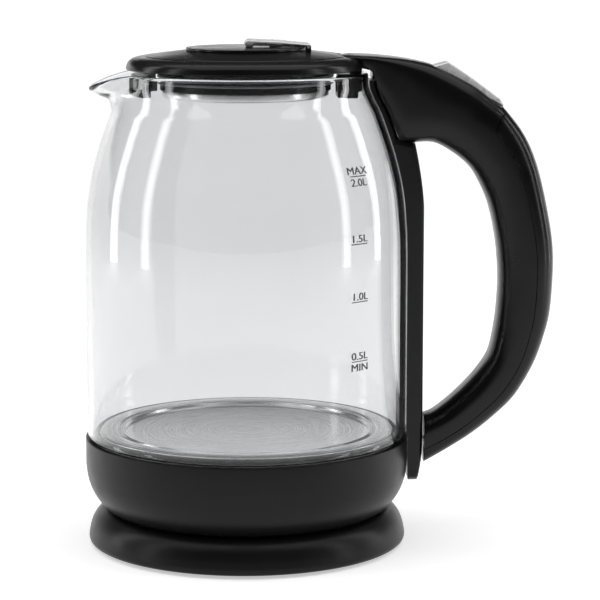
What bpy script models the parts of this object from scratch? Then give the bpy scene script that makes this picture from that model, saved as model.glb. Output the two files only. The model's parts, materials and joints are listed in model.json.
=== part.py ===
"""Glass electric kettle with a swivel power base.

The pot stands on its base around a vertical axis. Lengths are in metres, +Z is
up, the handle points along +X and the spout along -X. The world origin is the
bottom centre of the whole kettle's box, so the pot's own axis, where each
piece is modelled, stands AXIS_X to the side of it.
"""

import math

import bmesh
import bpy
from mathutils import Matrix, Vector

# Overall sizes
CUP_RADIUS = 0.0787
HANDLE_REACH = 0.1492
AXIS_X = (CUP_RADIUS - HANDLE_REACH) / 2
GAP = 0.0003
ROUND_STEPS = 40

# Power base
FOOT_HEIGHT = 0.0018
FOOT_INSET = 0.0121
FOOT_LENGTH = 0.0125
FOOT_WIDTH = 0.008
FOOT_COUNT = 3
FOOT_FIRST_ANGLE = math.radians(-52)
BASE_EDGE_Z = 0.0015
BASE_TOP_Z = 0.0174
BASE_RADIUS = 0.0776
BASE_SHOULDER = 0.0071
BASE_TOP_RADIUS = BASE_RADIUS - BASE_SHOULDER
BASE_WALL = 0.0024
COVER_THICKNESS = 0.002
COVER_SCREW_RING = 0.045
SCREW_HEAD_RADIUS = 0.003
SCREW_SHAFT_RADIUS = 0.0014
SCREW_HEAD_HEIGHT = 0.0012
SCREW_LENGTH = 0.008
BOSS_RADIUS = 0.0035
BOSS_CLEARANCE = 0.0010
SCREW_COUNT = 3
SCREW_STEPS = 16
TOWER_RADIUS = 0.0165
TOWER_TOP_Z = 0.0295
PIN_RADIUS = 0.0022
CONTACT_RING_RADIUS = 0.010
CONTACT_RING_WALL = 0.0012

# Lower housing
SEAT_GAP = 0.0005
POT_BOTTOM_Z = BASE_TOP_Z + SEAT_GAP
HOUSING_TOP_Z = 0.053
HOUSING_WALL = 0.0024
HOUSING_FLOOR_WIDTH = 0.0142
HOUSING_OPENING = CUP_RADIUS - HOUSING_FLOOR_WIDTH
HOUSING_SCREW_INSET = 0.0085
SOCKET_PLAY = 0.0012
SOCKET_WALL = 0.0038
SOCKET_RADIUS = TOWER_RADIUS + SOCKET_PLAY + SOCKET_WALL
SOCKET_TOP_Z = TOWER_TOP_Z + 0.0035

# Glass jar
GLASS_INSET = 0.0009
GLASS_RADIUS = CUP_RADIUS - GLASS_INSET
GLASS_WALL = 0.0028
GLASS_BOTTOM_Z = HOUSING_TOP_Z + 0.0004
NECK_START_Z = 0.212
NECK_RADIUS = 0.0645
MOUTH_RADIUS = 0.059
MOUTH_Z = 0.230
SPOUT_REACH = 0.0756
SPOUT_TIP_Z = 0.2225
SPOUT_HALF_ANGLE = math.radians(34)

# Heater stack
PLATE_Z = 0.057
PLATE_RIM = 0.0093
PLATE_DISH_DEPTH = 0.0012
PLATE_THICKNESS = 0.0006
SEAL_WALL = 0.0026
SPREADER_RADIUS = 0.054
SPREADER_THICKNESS = 0.003
ELEMENT_RING_RADIUS = 0.042
ELEMENT_RADIUS = 0.0034

# Handle
STRIP_HALF_WIDTH = 0.0095
STRIP_DEPTH = 0.0075
STRIP_OUTER_X = CUP_RADIUS + STRIP_DEPTH
STRIP_BOTTOM_Z = 0.0305
STRIP_THIN = 0.0038
STRIP_TAPER = 0.0044
STRIP_TAPER_Z = 0.165
STRIP_STEP_Z = 0.196
STRIP_TOP_Z = 0.2265
GROOVE_HALF_WIDTH = 0.0032
GROOVE_DEPTH = 0.0026
WIRE_RADIUS = 0.0009
HANDLE_HALF_WIDTH = 0.0155
NOSE_RADIUS = 0.01515
NOSE_TIP_X = 0.0444
SEAM_GAP = 0.0009
HANDLE_WALL = 0.0028
COVER_FIRST_ROW = 11
COVER_SHARE = 0.66

# The handle's curve is drawn for this strip and this reach, and fitted to the real ones
DRAWN_NECK_X = 0.0622
DRAWN_STRIP_X = 0.0862
DRAWN_REACH = 0.1492

# Steam inlet
INLET_CLEARANCE = 0.0010
INLET_HALF_WIDTH = 0.0098
INLET_WALL = 0.0033

# Lid
LID_RADIUS = 0.0574
LID_BOTTOM_Z = 0.2316
LID_TOP_Z = 0.2408
LID_SHELL = 0.0022
DISC_RADIUS = 0.0286
DISC_THICKNESS = 0.0010
PLUG_RADIUS = 0.041
PLUG_BOTTOM_Z = 0.2216
CAP_BOTTOM_Z = 0.2175
HINGE_X = 0.050
HINGE_Z = 0.2363
HINGE_PIN_RADIUS = 0.0008
HINGE_PIN_REACH = 0.0148
HINGE_LUG_X = (0.0465, 0.0518)
HINGE_LUG_Y = (0.0128, 0.0172)
TAB_PIVOT_X = 0.0300
TAB_PIVOT_Z = 0.2424
TAB_PIN_RADIUS = 0.0006
TAB_HALF_WIDTH = 0.008
TAB_EAR_GAP = 0.0004
TAB_EAR_WIDTH = 0.0018

# Power switch, in the handle's sloping top: along the slope and out of it
SLOPE_START = (0.0893, 0.2335)
SLOPE_END = (0.1248, 0.2142)
SWITCH_LENGTH = 0.0396
SWITCH_PIN_RADIUS = 0.0010
SWITCH_HALF_WIDTH = 0.0072
SWITCH_PIVOT_ALONG = 0.021
SWITCH_PIVOT_DEPTH = 0.0025
SWITCH_CLEARANCE = 0.0008


def clear_scene():
    for item in list(bpy.data.objects):
        bpy.data.objects.remove(item, do_unlink=True)


def material(name, colour, roughness, metallic=0.0, transmission=0.0):
    """One Principled material for one piece."""
    made = bpy.data.materials.new(name)
    made.use_nodes = True
    shader = made.node_tree.nodes["Principled BSDF"]
    shader.inputs["Base Color"].default_value = (*colour, 1.0)
    shader.inputs["Roughness"].default_value = roughness
    shader.inputs["Metallic"].default_value = metallic
    shader.inputs["Transmission Weight"].default_value = transmission
    return made


BLACK = ((0.022, 0.022, 0.024), 0.32)
SOFT_BLACK = ((0.035, 0.035, 0.038), 0.45)
RUBBER = ((0.02, 0.02, 0.02), 0.8)
SILICONE = ((0.55, 0.56, 0.57), 0.5)
STEEL = ((0.62, 0.62, 0.63), 0.28, 1.0)
CHROME = ((0.78, 0.78, 0.79), 0.15, 1.0)
BRASS = ((0.75, 0.60, 0.30), 0.3, 1.0)
ALUMINIUM = ((0.75, 0.75, 0.76), 0.4, 1.0)
GLASS = ((0.97, 0.98, 0.98), 0.02, 0.0, 1.0)
NYLON = ((0.80, 0.78, 0.72), 0.55)
COPPER_RED = ((0.45, 0.05, 0.04), 0.5)
COPPER_BLUE = ((0.05, 0.12, 0.40), 0.5)


def add_object(name, mesh, finish, parent):
    """Link a mesh as a named object with a material of its own."""
    piece = bpy.data.objects.new(name, mesh)
    bpy.context.scene.collection.objects.link(piece)
    mesh.materials.append(material(name + "_finish", *finish))
    attach(piece, parent)
    return piece


def attach(piece, anchor):
    """Hang a piece on an axis empty and keep the piece where it is modelled."""
    piece.parent = anchor
    if anchor.parent:
        piece.matrix_parent_inverse = Matrix.Translation(-anchor.location)


def close_mesh(name, work, smooth_angle=math.radians(35)):
    """Turn a bmesh into a clean closed mesh with its faces outward."""
    bmesh.ops.remove_doubles(work, verts=work.verts, dist=1e-6)
    bmesh.ops.recalc_face_normals(work, faces=work.faces)
    mesh = bpy.data.meshes.new(name)
    work.to_mesh(mesh)
    work.free()
    mesh.shade_smooth()
    mesh.set_sharp_from_angle(angle=smooth_angle)
    return mesh


def moved(mesh, origin):
    """Shift a mesh so that the given place becomes its object's origin."""
    mesh.transform(Matrix.Translation(-Vector(origin)))
    return mesh


def turned(name, profile, finish, parent, centre=(0.0, 0.0), steps=ROUND_STEPS):
    """Turn a closed (radius, height) outline about a vertical axis."""
    work = bmesh.new()
    points = [work.verts.new((radius, 0.0, height)) for radius, height in profile]
    for first, second in zip(points, points[1:] + points[:1]):
        if first.co.x > 1e-7 or second.co.x > 1e-7:
            work.edges.new((first, second))
    bmesh.ops.spin(work, geom=work.verts[:] + work.edges[:], cent=(0, 0, 0), axis=(0, 0, 1),
                   angle=math.tau, steps=steps, use_merge=True)
    piece = add_object(name, close_mesh(name, work), finish, parent)
    piece.location = (*centre, 0.0)
    return piece


def extruded(name, outline, half_width, finish, parent, origin=(0.0, 0.0, 0.0)):
    """Give a closed (x, z) outline a thickness across the kettle, about y = 0."""
    work = bmesh.new()
    near = [work.verts.new((x, -half_width, z)) for x, z in outline]
    face = work.faces.new(near)
    grown = bmesh.ops.extrude_face_region(work, geom=[face])
    far = [item for item in grown["geom"] if isinstance(item, bmesh.types.BMVert)]
    bmesh.ops.translate(work, verts=far, vec=(0.0, 2 * half_width, 0.0))
    bmesh.ops.triangulate(work, faces=[item for item in work.faces if len(item.verts) > 4])
    mesh = moved(close_mesh(name, work), origin)
    piece = add_object(name, mesh, finish, parent)
    piece.location = origin
    return piece


def lofted(name, sections, finish, parent):
    """Skin a row of closed sections that have equal numbers of points."""
    work = bmesh.new()
    rings = [[work.verts.new(point) for point in section] for section in sections]
    count = len(rings[0])
    for low, high in zip(rings, rings[1:]):
        for i in range(count):
            work.faces.new((low[i], low[(i + 1) % count], high[(i + 1) % count], high[i]))
    work.faces.new(list(reversed(rings[0])))
    work.faces.new(rings[-1])
    bmesh.ops.triangulate(work, faces=[item for item in work.faces if len(item.verts) > 4])
    return add_object(name, close_mesh(name, work), finish, parent)


def rod(name, start, end, radius, finish, parent, steps=16):
    """A straight round bar between two places; its origin is at its middle."""
    start, end = Vector(start), Vector(end)
    work = bmesh.new()
    turn = (end - start).to_track_quat("Z", "Y").to_matrix().to_4x4()
    bmesh.ops.create_cone(work, cap_ends=True, cap_tris=True, segments=steps, radius1=radius,
                          radius2=radius, depth=(end - start).length, matrix=turn)
    piece = add_object(name, close_mesh(name, work), finish, parent)
    piece.location = (start + end) / 2
    return piece


def cable(name, points, radius, finish, parent):
    """A round lead or tube along hand-set points."""
    curve = bpy.data.curves.new(name, "CURVE")
    curve.dimensions = "3D"
    curve.bevel_depth = radius
    curve.bevel_resolution = 2
    curve.use_fill_caps = True
    spline = curve.splines.new("POLY")
    spline.points.add(len(points) - 1)
    for target, point in zip(spline.points, points):
        target.co = (*point, 1.0)
    return add_object(name, curve, finish, parent)


def cut(piece, cutter, operation="DIFFERENCE"):
    """Cut or join one solid with another, which is then only a guide.

    The grip and its cover share long curved cuts, which need the MANIFOLD solver.
    """
    change = piece.modifiers.new(cutter.name, "BOOLEAN")
    change.operation = operation
    change.solver = "MANIFOLD" if piece.name in ("handle_grip", "handle_cover") else "EXACT"
    change.object = cutter
    cutter.hide_render = True
    cutter.display_type = "WIRE"


def bar_cutter(name, start, end, radius, parent):
    return rod(name, start, end, radius, RUBBER, parent)


def smooth_curve(points, per_span):
    """Points on a smooth curve through the given ones."""
    padded = [2 * points[0] - points[1]] + points + [2 * points[-1] - points[-2]]
    result = []
    for i in range(1, len(padded) - 2):
        before, start, end, after = padded[i - 1:i + 3]
        for step in range(per_span):
            t = step / per_span
            blend = (2 * start + (end - before) * t + (2 * before - 5 * start + 4 * end - after) * t ** 2
                     + (3 * start - before - 3 * end + after) * t ** 3)
            result.append(blend / 2)
    result.append(points[-1])
    return result


# ---------------------------------------------------------------- power base

def build_screw(name, centre, head_z, parent):
    """A countersunk housing screw, head down."""
    profile = [(0.0, head_z), (SCREW_HEAD_RADIUS, head_z),
               (SCREW_HEAD_RADIUS, head_z + SCREW_HEAD_HEIGHT),
               (SCREW_SHAFT_RADIUS, head_z + SCREW_HEAD_HEIGHT),
               (SCREW_SHAFT_RADIUS, head_z + SCREW_LENGTH), (0.0, head_z + SCREW_LENGTH)]
    return turned(name, profile, STEEL, parent, centre, SCREW_STEPS)


def screw_hole_profile(head_z):
    """Outline of the stepped hole that takes a housing screw with clearance."""
    head = SCREW_HEAD_RADIUS + GAP
    shaft = SCREW_SHAFT_RADIUS + GAP
    shelf = head_z + SCREW_HEAD_HEIGHT + GAP
    return [(0.0, head_z - 0.004), (head, head_z - 0.004), (head, shelf), (shaft, shelf),
            (shaft, head_z + SCREW_LENGTH + 0.001), (0.0, head_z + SCREW_LENGTH + 0.001)]


def ring_places(count, radius, first_angle):
    angles = [first_angle + math.tau * i / count for i in range(count)]
    return [(radius * math.cos(angle), radius * math.sin(angle)) for angle in angles]


def build_base_shell(root):
    """The visible upper part of the base, open below."""
    top_in = BASE_TOP_Z - BASE_WALL
    profile = [
        (BASE_RADIUS - 0.0011, BASE_EDGE_Z), (BASE_RADIUS, BASE_EDGE_Z + 0.0015),
        (BASE_RADIUS - 0.0001, 0.0055), (BASE_RADIUS - 0.0008, 0.0090),
        (BASE_RADIUS - 0.0019, 0.0123), (BASE_RADIUS - 0.0040, 0.0153),
        (BASE_TOP_RADIUS, BASE_TOP_Z), (TOWER_RADIUS + GAP, BASE_TOP_Z),
        (TOWER_RADIUS + GAP, top_in), (BASE_TOP_RADIUS - 0.001, top_in),
        (BASE_RADIUS - 0.0045, 0.0115), (BASE_RADIUS - BASE_WALL, 0.0075),
        (BASE_RADIUS - BASE_WALL, BASE_EDGE_Z)]
    shell = turned("base_shell", profile, SOFT_BLACK, root)
    head_z = BASE_EDGE_Z + 0.0007
    places = ring_places(SCREW_COUNT, COVER_SCREW_RING, FOOT_FIRST_ANGLE)
    boss_low = BASE_EDGE_Z + COVER_THICKNESS + BOSS_CLEARANCE
    boss_top = top_in + BASE_WALL / 2
    for i, place in enumerate(places):
        boss = turned(f"base_boss_{i + 1}", [
            (0.0, boss_low), (BOSS_RADIUS, boss_low), (BOSS_RADIUS, boss_top), (0.0, boss_top)],
            SOFT_BLACK, root, place, SCREW_STEPS)
        cut(shell, boss, "UNION")
    cover_z = BASE_EDGE_Z + 0.0004
    cover_radius = BASE_RADIUS - BASE_WALL - GAP
    cover = turned("base_cover", [
        (0.0, cover_z), (cover_radius, cover_z), (cover_radius, cover_z + COVER_THICKNESS),
        (0.0, cover_z + COVER_THICKNESS)], SOFT_BLACK, root)
    for i, place in enumerate(places):
        hole = turned(f"base_screw_hole_{i + 1}", screw_hole_profile(head_z), RUBBER, root, place,
                      SCREW_STEPS)
        cut(shell, hole)
        cut(cover, hole)
        build_screw(f"base_screw_{i + 1}", place, head_z, root)
    return cover_z


def build_base_feet(cover_z, root):
    """Rubber pads with rounded ends, lying along the rim."""
    ring = BASE_RADIUS - FOOT_INSET
    for i in range(FOOT_COUNT):
        angle = FOOT_FIRST_ANGLE + math.tau * i / FOOT_COUNT
        work = bmesh.new()
        outline = []
        for end in (-1, 1):
            for step in range(9):
                turn = math.pi * step / 8 - math.pi / 2
                reach = (FOOT_LENGTH - FOOT_WIDTH) / 2
                outline.append(work.verts.new((
                    end * (reach + FOOT_WIDTH / 2 * math.cos(turn)),
                    end * FOOT_WIDTH / 2 * math.sin(turn), 0.0)))
        bottom = work.faces.new(outline)
        grown = bmesh.ops.extrude_face_region(work, geom=[bottom])
        top = [item for item in grown["geom"] if isinstance(item, bmesh.types.BMVert)]
        bmesh.ops.translate(work, verts=top, vec=(0, 0, min(FOOT_HEIGHT, cover_z) - GAP))
        foot = add_object(f"base_foot_{i + 1}", close_mesh("foot", work), RUBBER, root)
        foot.location = (ring * math.cos(angle), ring * math.sin(angle), 0.0)
        foot.rotation_euler = (0.0, 0.0, angle + math.pi / 2)


def build_connector_tower(root):
    """The raised plug in the middle of the base, with its earth pin."""
    floor_z = BASE_TOP_Z - BASE_WALL - GAP
    groove_in = CONTACT_RING_RADIUS - CONTACT_RING_WALL - 2 * GAP
    groove_out = CONTACT_RING_RADIUS + 2 * GAP
    bore = PIN_RADIUS + 0.0015
    groove_z = TOWER_TOP_Z - 0.009
    turned("base_connector", [
        (TOWER_RADIUS + 0.006, floor_z), (TOWER_RADIUS + 0.006, floor_z - 0.002),
        (0.0, floor_z - 0.002), (0.0, groove_z), (bore, groove_z), (bore, TOWER_TOP_Z),
        (groove_in, TOWER_TOP_Z), (groove_in, groove_z), (groove_out, groove_z),
        (groove_out, TOWER_TOP_Z), (TOWER_RADIUS - 0.001, TOWER_TOP_Z),
        (TOWER_RADIUS, TOWER_TOP_Z - 0.001), (TOWER_RADIUS, floor_z)], BLACK, root)
    turned("earth_pin", [
        (0.0, groove_z + GAP), (PIN_RADIUS, groove_z + GAP), (PIN_RADIUS, TOWER_TOP_Z - 0.002),
        (0.0, TOWER_TOP_Z - 0.001)], BRASS, root, steps=16)


def build_cord_inlet(cover_z, root):
    """The gland that a supply cord would leave through, at the back of the base."""
    width = 0.005
    outer = BASE_RADIUS - BASE_WALL - 0.0026
    floor_z = cover_z + COVER_THICKNESS + GAP
    work = bmesh.new()
    outline = [(-width, outer - 0.010), (width, outer - 0.010), (width, outer), (-width, outer)]
    face = work.faces.new([work.verts.new((x, y, floor_z)) for x, y in outline])
    grown = bmesh.ops.extrude_face_region(work, geom=[face])
    top = [item for item in grown["geom"] if isinstance(item, bmesh.types.BMVert)]
    bmesh.ops.translate(work, verts=top, vec=(0, 0, 0.0065))
    gland = add_object("cord_gland", close_mesh("cord_gland", work), RUBBER, root)
    bore = bar_cutter("gland_bore", (0, outer - 0.014, floor_z + 0.0033),
                      (0, outer + 0.006, floor_z + 0.0033), 0.0018, root)
    cut(gland, bore)


# ------------------------------------------------------------------- housing

def build_lower_housing(pot):
    """The black cup under the glass, with its bottom cover and screws."""
    inner = CUP_RADIUS - HOUSING_WALL
    shelf_z = POT_BOTTOM_Z + 0.0022
    profile = [
        (HOUSING_OPENING, POT_BOTTOM_Z), (CUP_RADIUS - 0.0097, POT_BOTTOM_Z),
        (CUP_RADIUS - 0.0075, POT_BOTTOM_Z + 0.0017), (CUP_RADIUS - 0.0045, POT_BOTTOM_Z + 0.0059),
        (CUP_RADIUS - 0.0025, POT_BOTTOM_Z + 0.0096), (CUP_RADIUS - 0.0010, POT_BOTTOM_Z + 0.0146),
        (CUP_RADIUS - 0.0002, POT_BOTTOM_Z + 0.0196), (CUP_RADIUS, POT_BOTTOM_Z + 0.0231),
        (CUP_RADIUS, HOUSING_TOP_Z), (inner, HOUSING_TOP_Z), (inner, POT_BOTTOM_Z + 0.0221),
        (inner - 0.0016, POT_BOTTOM_Z + 0.0141), (inner - 0.0050, POT_BOTTOM_Z + 0.0071),
        (CUP_RADIUS - 0.0102, shelf_z), (HOUSING_OPENING, shelf_z)]
    turned("lower_housing", profile, SOFT_BLACK, pot)
    cover_radius = HOUSING_OPENING + 0.0025
    cover_low = shelf_z + GAP
    socket_hole = SOCKET_RADIUS + 2 * GAP
    cover = turned("housing_cover", [
        (socket_hole, cover_low), (cover_radius, cover_low),
        (cover_radius, cover_low + COVER_THICKNESS), (socket_hole, cover_low + COVER_THICKNESS)],
        SOFT_BLACK, pot)
    screw_ring = HOUSING_OPENING - HOUSING_SCREW_INSET
    for i, place in enumerate(ring_places(SCREW_COUNT, screw_ring, FOOT_FIRST_ANGLE)):
        head_z = cover_low - 0.0008
        hole = turned(f"housing_screw_hole_{i + 1}", screw_hole_profile(head_z), RUBBER, pot, place,
                      SCREW_STEPS)
        cut(cover, hole)
        build_screw(f"housing_screw_{i + 1}", place, head_z, pot)


def build_coupler(coupler):
    """The round socket that lets the pot stand on the tower at any angle."""
    inner = TOWER_RADIUS + SOCKET_PLAY
    roof_z = TOWER_TOP_Z + 0.0008
    turned("coupler_socket", [
        (inner, POT_BOTTOM_Z + 0.0004), (SOCKET_RADIUS, POT_BOTTOM_Z + 0.0004),
        (SOCKET_RADIUS, SOCKET_TOP_Z), (0.0, SOCKET_TOP_Z), (0.0, roof_z), (inner, roof_z)],
        BLACK, coupler)
    ring_top = roof_z - GAP
    turned("coupler_contact_ring", [
        (CONTACT_RING_RADIUS - CONTACT_RING_WALL, ring_top - 0.006),
        (CONTACT_RING_RADIUS, ring_top - 0.006), (CONTACT_RING_RADIUS, ring_top),
        (CONTACT_RING_RADIUS - CONTACT_RING_WALL, ring_top)], BRASS, coupler, steps=32)


def build_heater(pot):
    """Steel floor of the jar, its seal and clamp, and the element below it."""
    seal_out = GLASS_RADIUS - GLASS_WALL - GAP
    seal_in = seal_out - SEAL_WALL
    plate_edge = seal_in - GAP
    dish = plate_edge - PLATE_RIM
    dish_z = PLATE_Z - PLATE_DISH_DEPTH
    thick = PLATE_THICKNESS
    rim_z = PLATE_Z - 0.0085
    turned("heater_plate", [
        (0.0, dish_z), (dish, dish_z), (dish + 0.0015, PLATE_Z),
        (plate_edge - 0.001, PLATE_Z), (plate_edge, PLATE_Z - 0.001), (plate_edge, rim_z),
        (plate_edge - thick, rim_z), (plate_edge - thick, PLATE_Z - 0.0013),
        (plate_edge - 0.0013, PLATE_Z - thick), (dish + 0.0015, PLATE_Z - thick),
        (dish, dish_z - thick), (0.0, dish_z - thick)], STEEL, pot)
    lip_z = PLATE_Z - 0.0006
    turned("glass_seal", [
        (seal_in, rim_z - 0.0002), (seal_out, rim_z - 0.0002), (seal_out, lip_z), (seal_in, lip_z)],
        SILICONE, pot)
    clamp_top = rim_z - 0.0002 - GAP
    turned("clamp_ring", [
        (seal_in - 0.003, clamp_top - 0.0015), (seal_out + 0.0005, clamp_top - 0.0015),
        (seal_out + 0.0005, clamp_top), (seal_in - 0.003, clamp_top)], STEEL, pot)
    spreader_top = dish_z - thick - GAP
    spreader_low = spreader_top - SPREADER_THICKNESS
    turned("heat_spreader", [
        (0.0, spreader_low), (SPREADER_RADIUS, spreader_low), (SPREADER_RADIUS, spreader_top),
        (0.0, spreader_top)], ALUMINIUM, pot)
    element_z = spreader_low - GAP - ELEMENT_RADIUS
    points = []
    steps = 32
    start, sweep = math.radians(25), math.radians(310)
    for step in range(steps + 1):
        angle = start + sweep * step / steps
        across, along = math.cos(angle), math.sin(angle)
        points.append((ELEMENT_RING_RADIUS * across, ELEMENT_RING_RADIUS * along, element_z))
    cable("heating_element", points, ELEMENT_RADIUS, STEEL, pot)
    return spreader_low


def build_thermostat(spreader_low, pot):
    """Control block between the socket and the heater, with its bimetal disc."""
    low = SOCKET_TOP_Z + GAP
    high = spreader_low - 0.004
    extruded("thermostat_block", [(-0.018, low), (0.018, low), (0.018, high), (-0.018, high)],
             0.014, NYLON, pot)
    turned("thermostat_disc", [
        (0.0, high + GAP), (0.0085, high + GAP), (0.0085, high + GAP + 0.0005),
        (0.0, high + 0.0016)], BRASS, pot, steps=24)


# --------------------------------------------------------------------- glass

def glass_outline():
    """(radius, height) points up the outside of the jar, from floor to neck."""
    narrowing = GLASS_RADIUS - NECK_RADIUS
    line = [Vector((GLASS_RADIUS, GLASS_BOTTOM_Z)), Vector((GLASS_RADIUS, 0.105))]
    for share, height in ((0.0, 0.148), (0.143, 0.1715), (0.421, 0.189), (0.729, 0.2025),
                          (1.0, NECK_START_Z)):
        line.append(Vector((GLASS_RADIUS - share * narrowing, height)))
    return line


def glass_radius_at(height):
    """Outer radius of the jar away from the spout."""
    line = glass_outline() + neck_outline(0.0)
    for low, high in zip(line, line[1:]):
        if low.y <= height <= high.y:
            return low.x + (high.x - low.x) * (height - low.y) / (high.y - low.y)
    return line[-1].x if height > line[-1].y else line[0].x


def neck_outline(pull):
    """(radius, height) points from neck to lip; pull 0 is plain and 1 is the spout."""
    plain = [Vector((MOUTH_RADIUS + 0.0022, 0.2185)), Vector((MOUTH_RADIUS + 0.0003, 0.2235)),
             Vector((MOUTH_RADIUS, MOUTH_Z))]
    spout = [Vector((0.0655, 0.2165)), Vector((0.0700, 0.2190)), Vector((SPOUT_REACH, SPOUT_TIP_Z))]
    return [a.lerp(b, pull) for a, b in zip(plain, spout)]


def spout_pull(angle):
    """How far the lip is drawn out at an angle from the spout's middle."""
    share = min(1.0, abs(angle) / SPOUT_HALF_ANGLE)
    return (1.0 - share) ** 2 * (1.0 + 2.0 * share)


def build_glass(pot):
    """Jar with a drawn-out pouring lip, open at both ends."""
    work = bmesh.new()
    columns = ROUND_STEPS
    rings = []
    for column in range(columns):
        angle = math.tau * column / columns
        pull = spout_pull((angle + math.pi) % math.tau - math.pi)
        line = glass_outline() + neck_outline(pull)
        inner = []
        for i, point in enumerate(line):
            ahead = line[min(i + 1, len(line) - 1)] - line[max(i - 1, 0)]
            side = Vector((-ahead.y, ahead.x)).normalized()
            inner.append(point + side * GLASS_WALL)
        inner[0].y = line[0].y
        direction = Vector((-math.cos(angle), -math.sin(angle), 0.0))
        loop = line + inner[::-1]
        rings.append([work.verts.new(direction * p.x + Vector((0, 0, p.y))) for p in loop])
    count = len(rings[0])
    for i in range(columns):
        here, there = rings[i], rings[(i + 1) % columns]
        for j in range(count):
            work.faces.new((here[j], there[j], there[(j + 1) % count], here[(j + 1) % count]))
    add_object("glass_jar", close_mesh("glass_jar", work), GLASS, pot)


def build_filter(pot):
    """Pouring filter: a curved frame behind the spout with a mesh in its window."""
    def arc(radius_in, radius_out, half_angle, z_low, z_high, steps):
        sections = []
        for step in range(steps + 1):
            angle = math.pi + half_angle * (2 * step / steps - 1)
            sections.append([(r * math.cos(angle), r * math.sin(angle), z)
                             for r, z in ((radius_in, z_low), (radius_out, z_low),
                                          (radius_out, z_high), (radius_in, z_high))])
        return sections
    outer = MOUTH_RADIUS - GLASS_WALL - 0.0014
    low, high, rim, steps = 0.2190, 0.2292, 0.0020, 12
    middle = outer - 0.0021
    opening = math.radians(25)
    frame_arc = arc(outer - 0.0042, outer, math.radians(30), low, high, steps)
    frame = lofted("filter_frame", frame_arc, BLACK, pot)
    window_arc = arc(outer - 0.0062, outer + 0.002, opening, low + rim, high - rim, steps)
    window = lofted("filter_window", window_arc, RUBBER, pot)
    cut(frame, window)
    mesh_arc = arc(middle - GAP, middle + GAP, opening - 0.006, low + rim + GAP, high - rim - GAP, steps)
    lofted("filter_mesh", mesh_arc, STEEL, pot)


# -------------------------------------------------------------------- handle

def strip_inner(height):
    """Radius of the strip's face against the housing and the glass."""
    if height < GLASS_BOTTOM_Z + 0.001:
        return CUP_RADIUS + GAP
    return glass_radius_at(height) + 2 * GAP


def build_strip(pot):
    """The upright against the glass, with a wire groove in its inner face."""
    body_heights = [STRIP_BOTTOM_Z + 0.0015, 0.040, 0.054, 0.0556, 0.100, 0.148, 0.160, 0.172, 0.183,
                    STRIP_STEP_Z, STRIP_STEP_Z + 0.001, 0.2025, 0.209, NECK_START_Z, 0.2185, STRIP_TOP_Z]
    sections = []
    for i, height in enumerate([STRIP_BOTTOM_Z] + body_heights):
        inner = strip_inner(height)
        rise = max(0.0, (height - STRIP_TAPER_Z) / (STRIP_STEP_Z - STRIP_TAPER_Z))
        outer = STRIP_OUTER_X - STRIP_TAPER * rise ** 1.5
        if height > STRIP_STEP_Z:
            outer = inner + STRIP_THIN
        if height < 0.052:
            outer -= 0.0025 * ((0.052 - height) / 0.0215) ** 2
        half = STRIP_HALF_WIDTH - (0.003 if i == 0 else 0.0)
        section = []
        for y, depth in ((-half, 0.0), (-GROOVE_HALF_WIDTH, 0.0), (-GROOVE_HALF_WIDTH, GROOVE_DEPTH),
                         (GROOVE_HALF_WIDTH, GROOVE_DEPTH), (GROOVE_HALF_WIDTH, 0.0), (half, 0.0)):
            section.append((math.sqrt(inner ** 2 - y ** 2) + depth, y, height))
        for share in (1.0, 0.72, 0.0, -0.72, -1.0):
            y = half * share
            rounding = 0.0012 * abs(share) ** 4
            section.append((math.sqrt(outer ** 2 - y ** 2) - rounding, y, height))
        sections.append(section)
    strip = lofted("handle_strip", sections, BLACK, pot)
    for i, side in enumerate((-1, 1)):
        heights = [0.0575, 0.100, 0.148, 0.160, 0.172, 0.183, 0.1965, 0.2025, 0.209,
                   NECK_START_Z, 0.2185, 0.224]
        points = [(strip_inner(z) + GROOVE_DEPTH / 2, side * 0.0014, z) for z in heights]
        cable(f"switch_wire_{i + 1}", points, WIRE_RADIUS, (COPPER_RED, COPPER_BLUE)[i], pot)
    return strip


def nose_rows():
    """The tongue that reaches into the lid's notch, rounded to the nose radius."""
    rows = [(NOSE_TIP_X + 0.0002, 0.2330, NOSE_TIP_X + 0.0002, 0.2380, 0.0025, 6)]
    for ahead, low, high in ((0.0020, 0.2326, 0.2384), (0.0056, 0.2324, 0.2386),
                             (0.0106, 0.2322, 0.2384), (0.0159, 0.2304, 0.2382)):
        half = math.sqrt(NOSE_RADIUS ** 2 - (NOSE_RADIUS - ahead) ** 2)
        rows.append((NOSE_TIP_X + ahead, low, NOSE_TIP_X + ahead, high, half, 6))
    return rows


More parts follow.
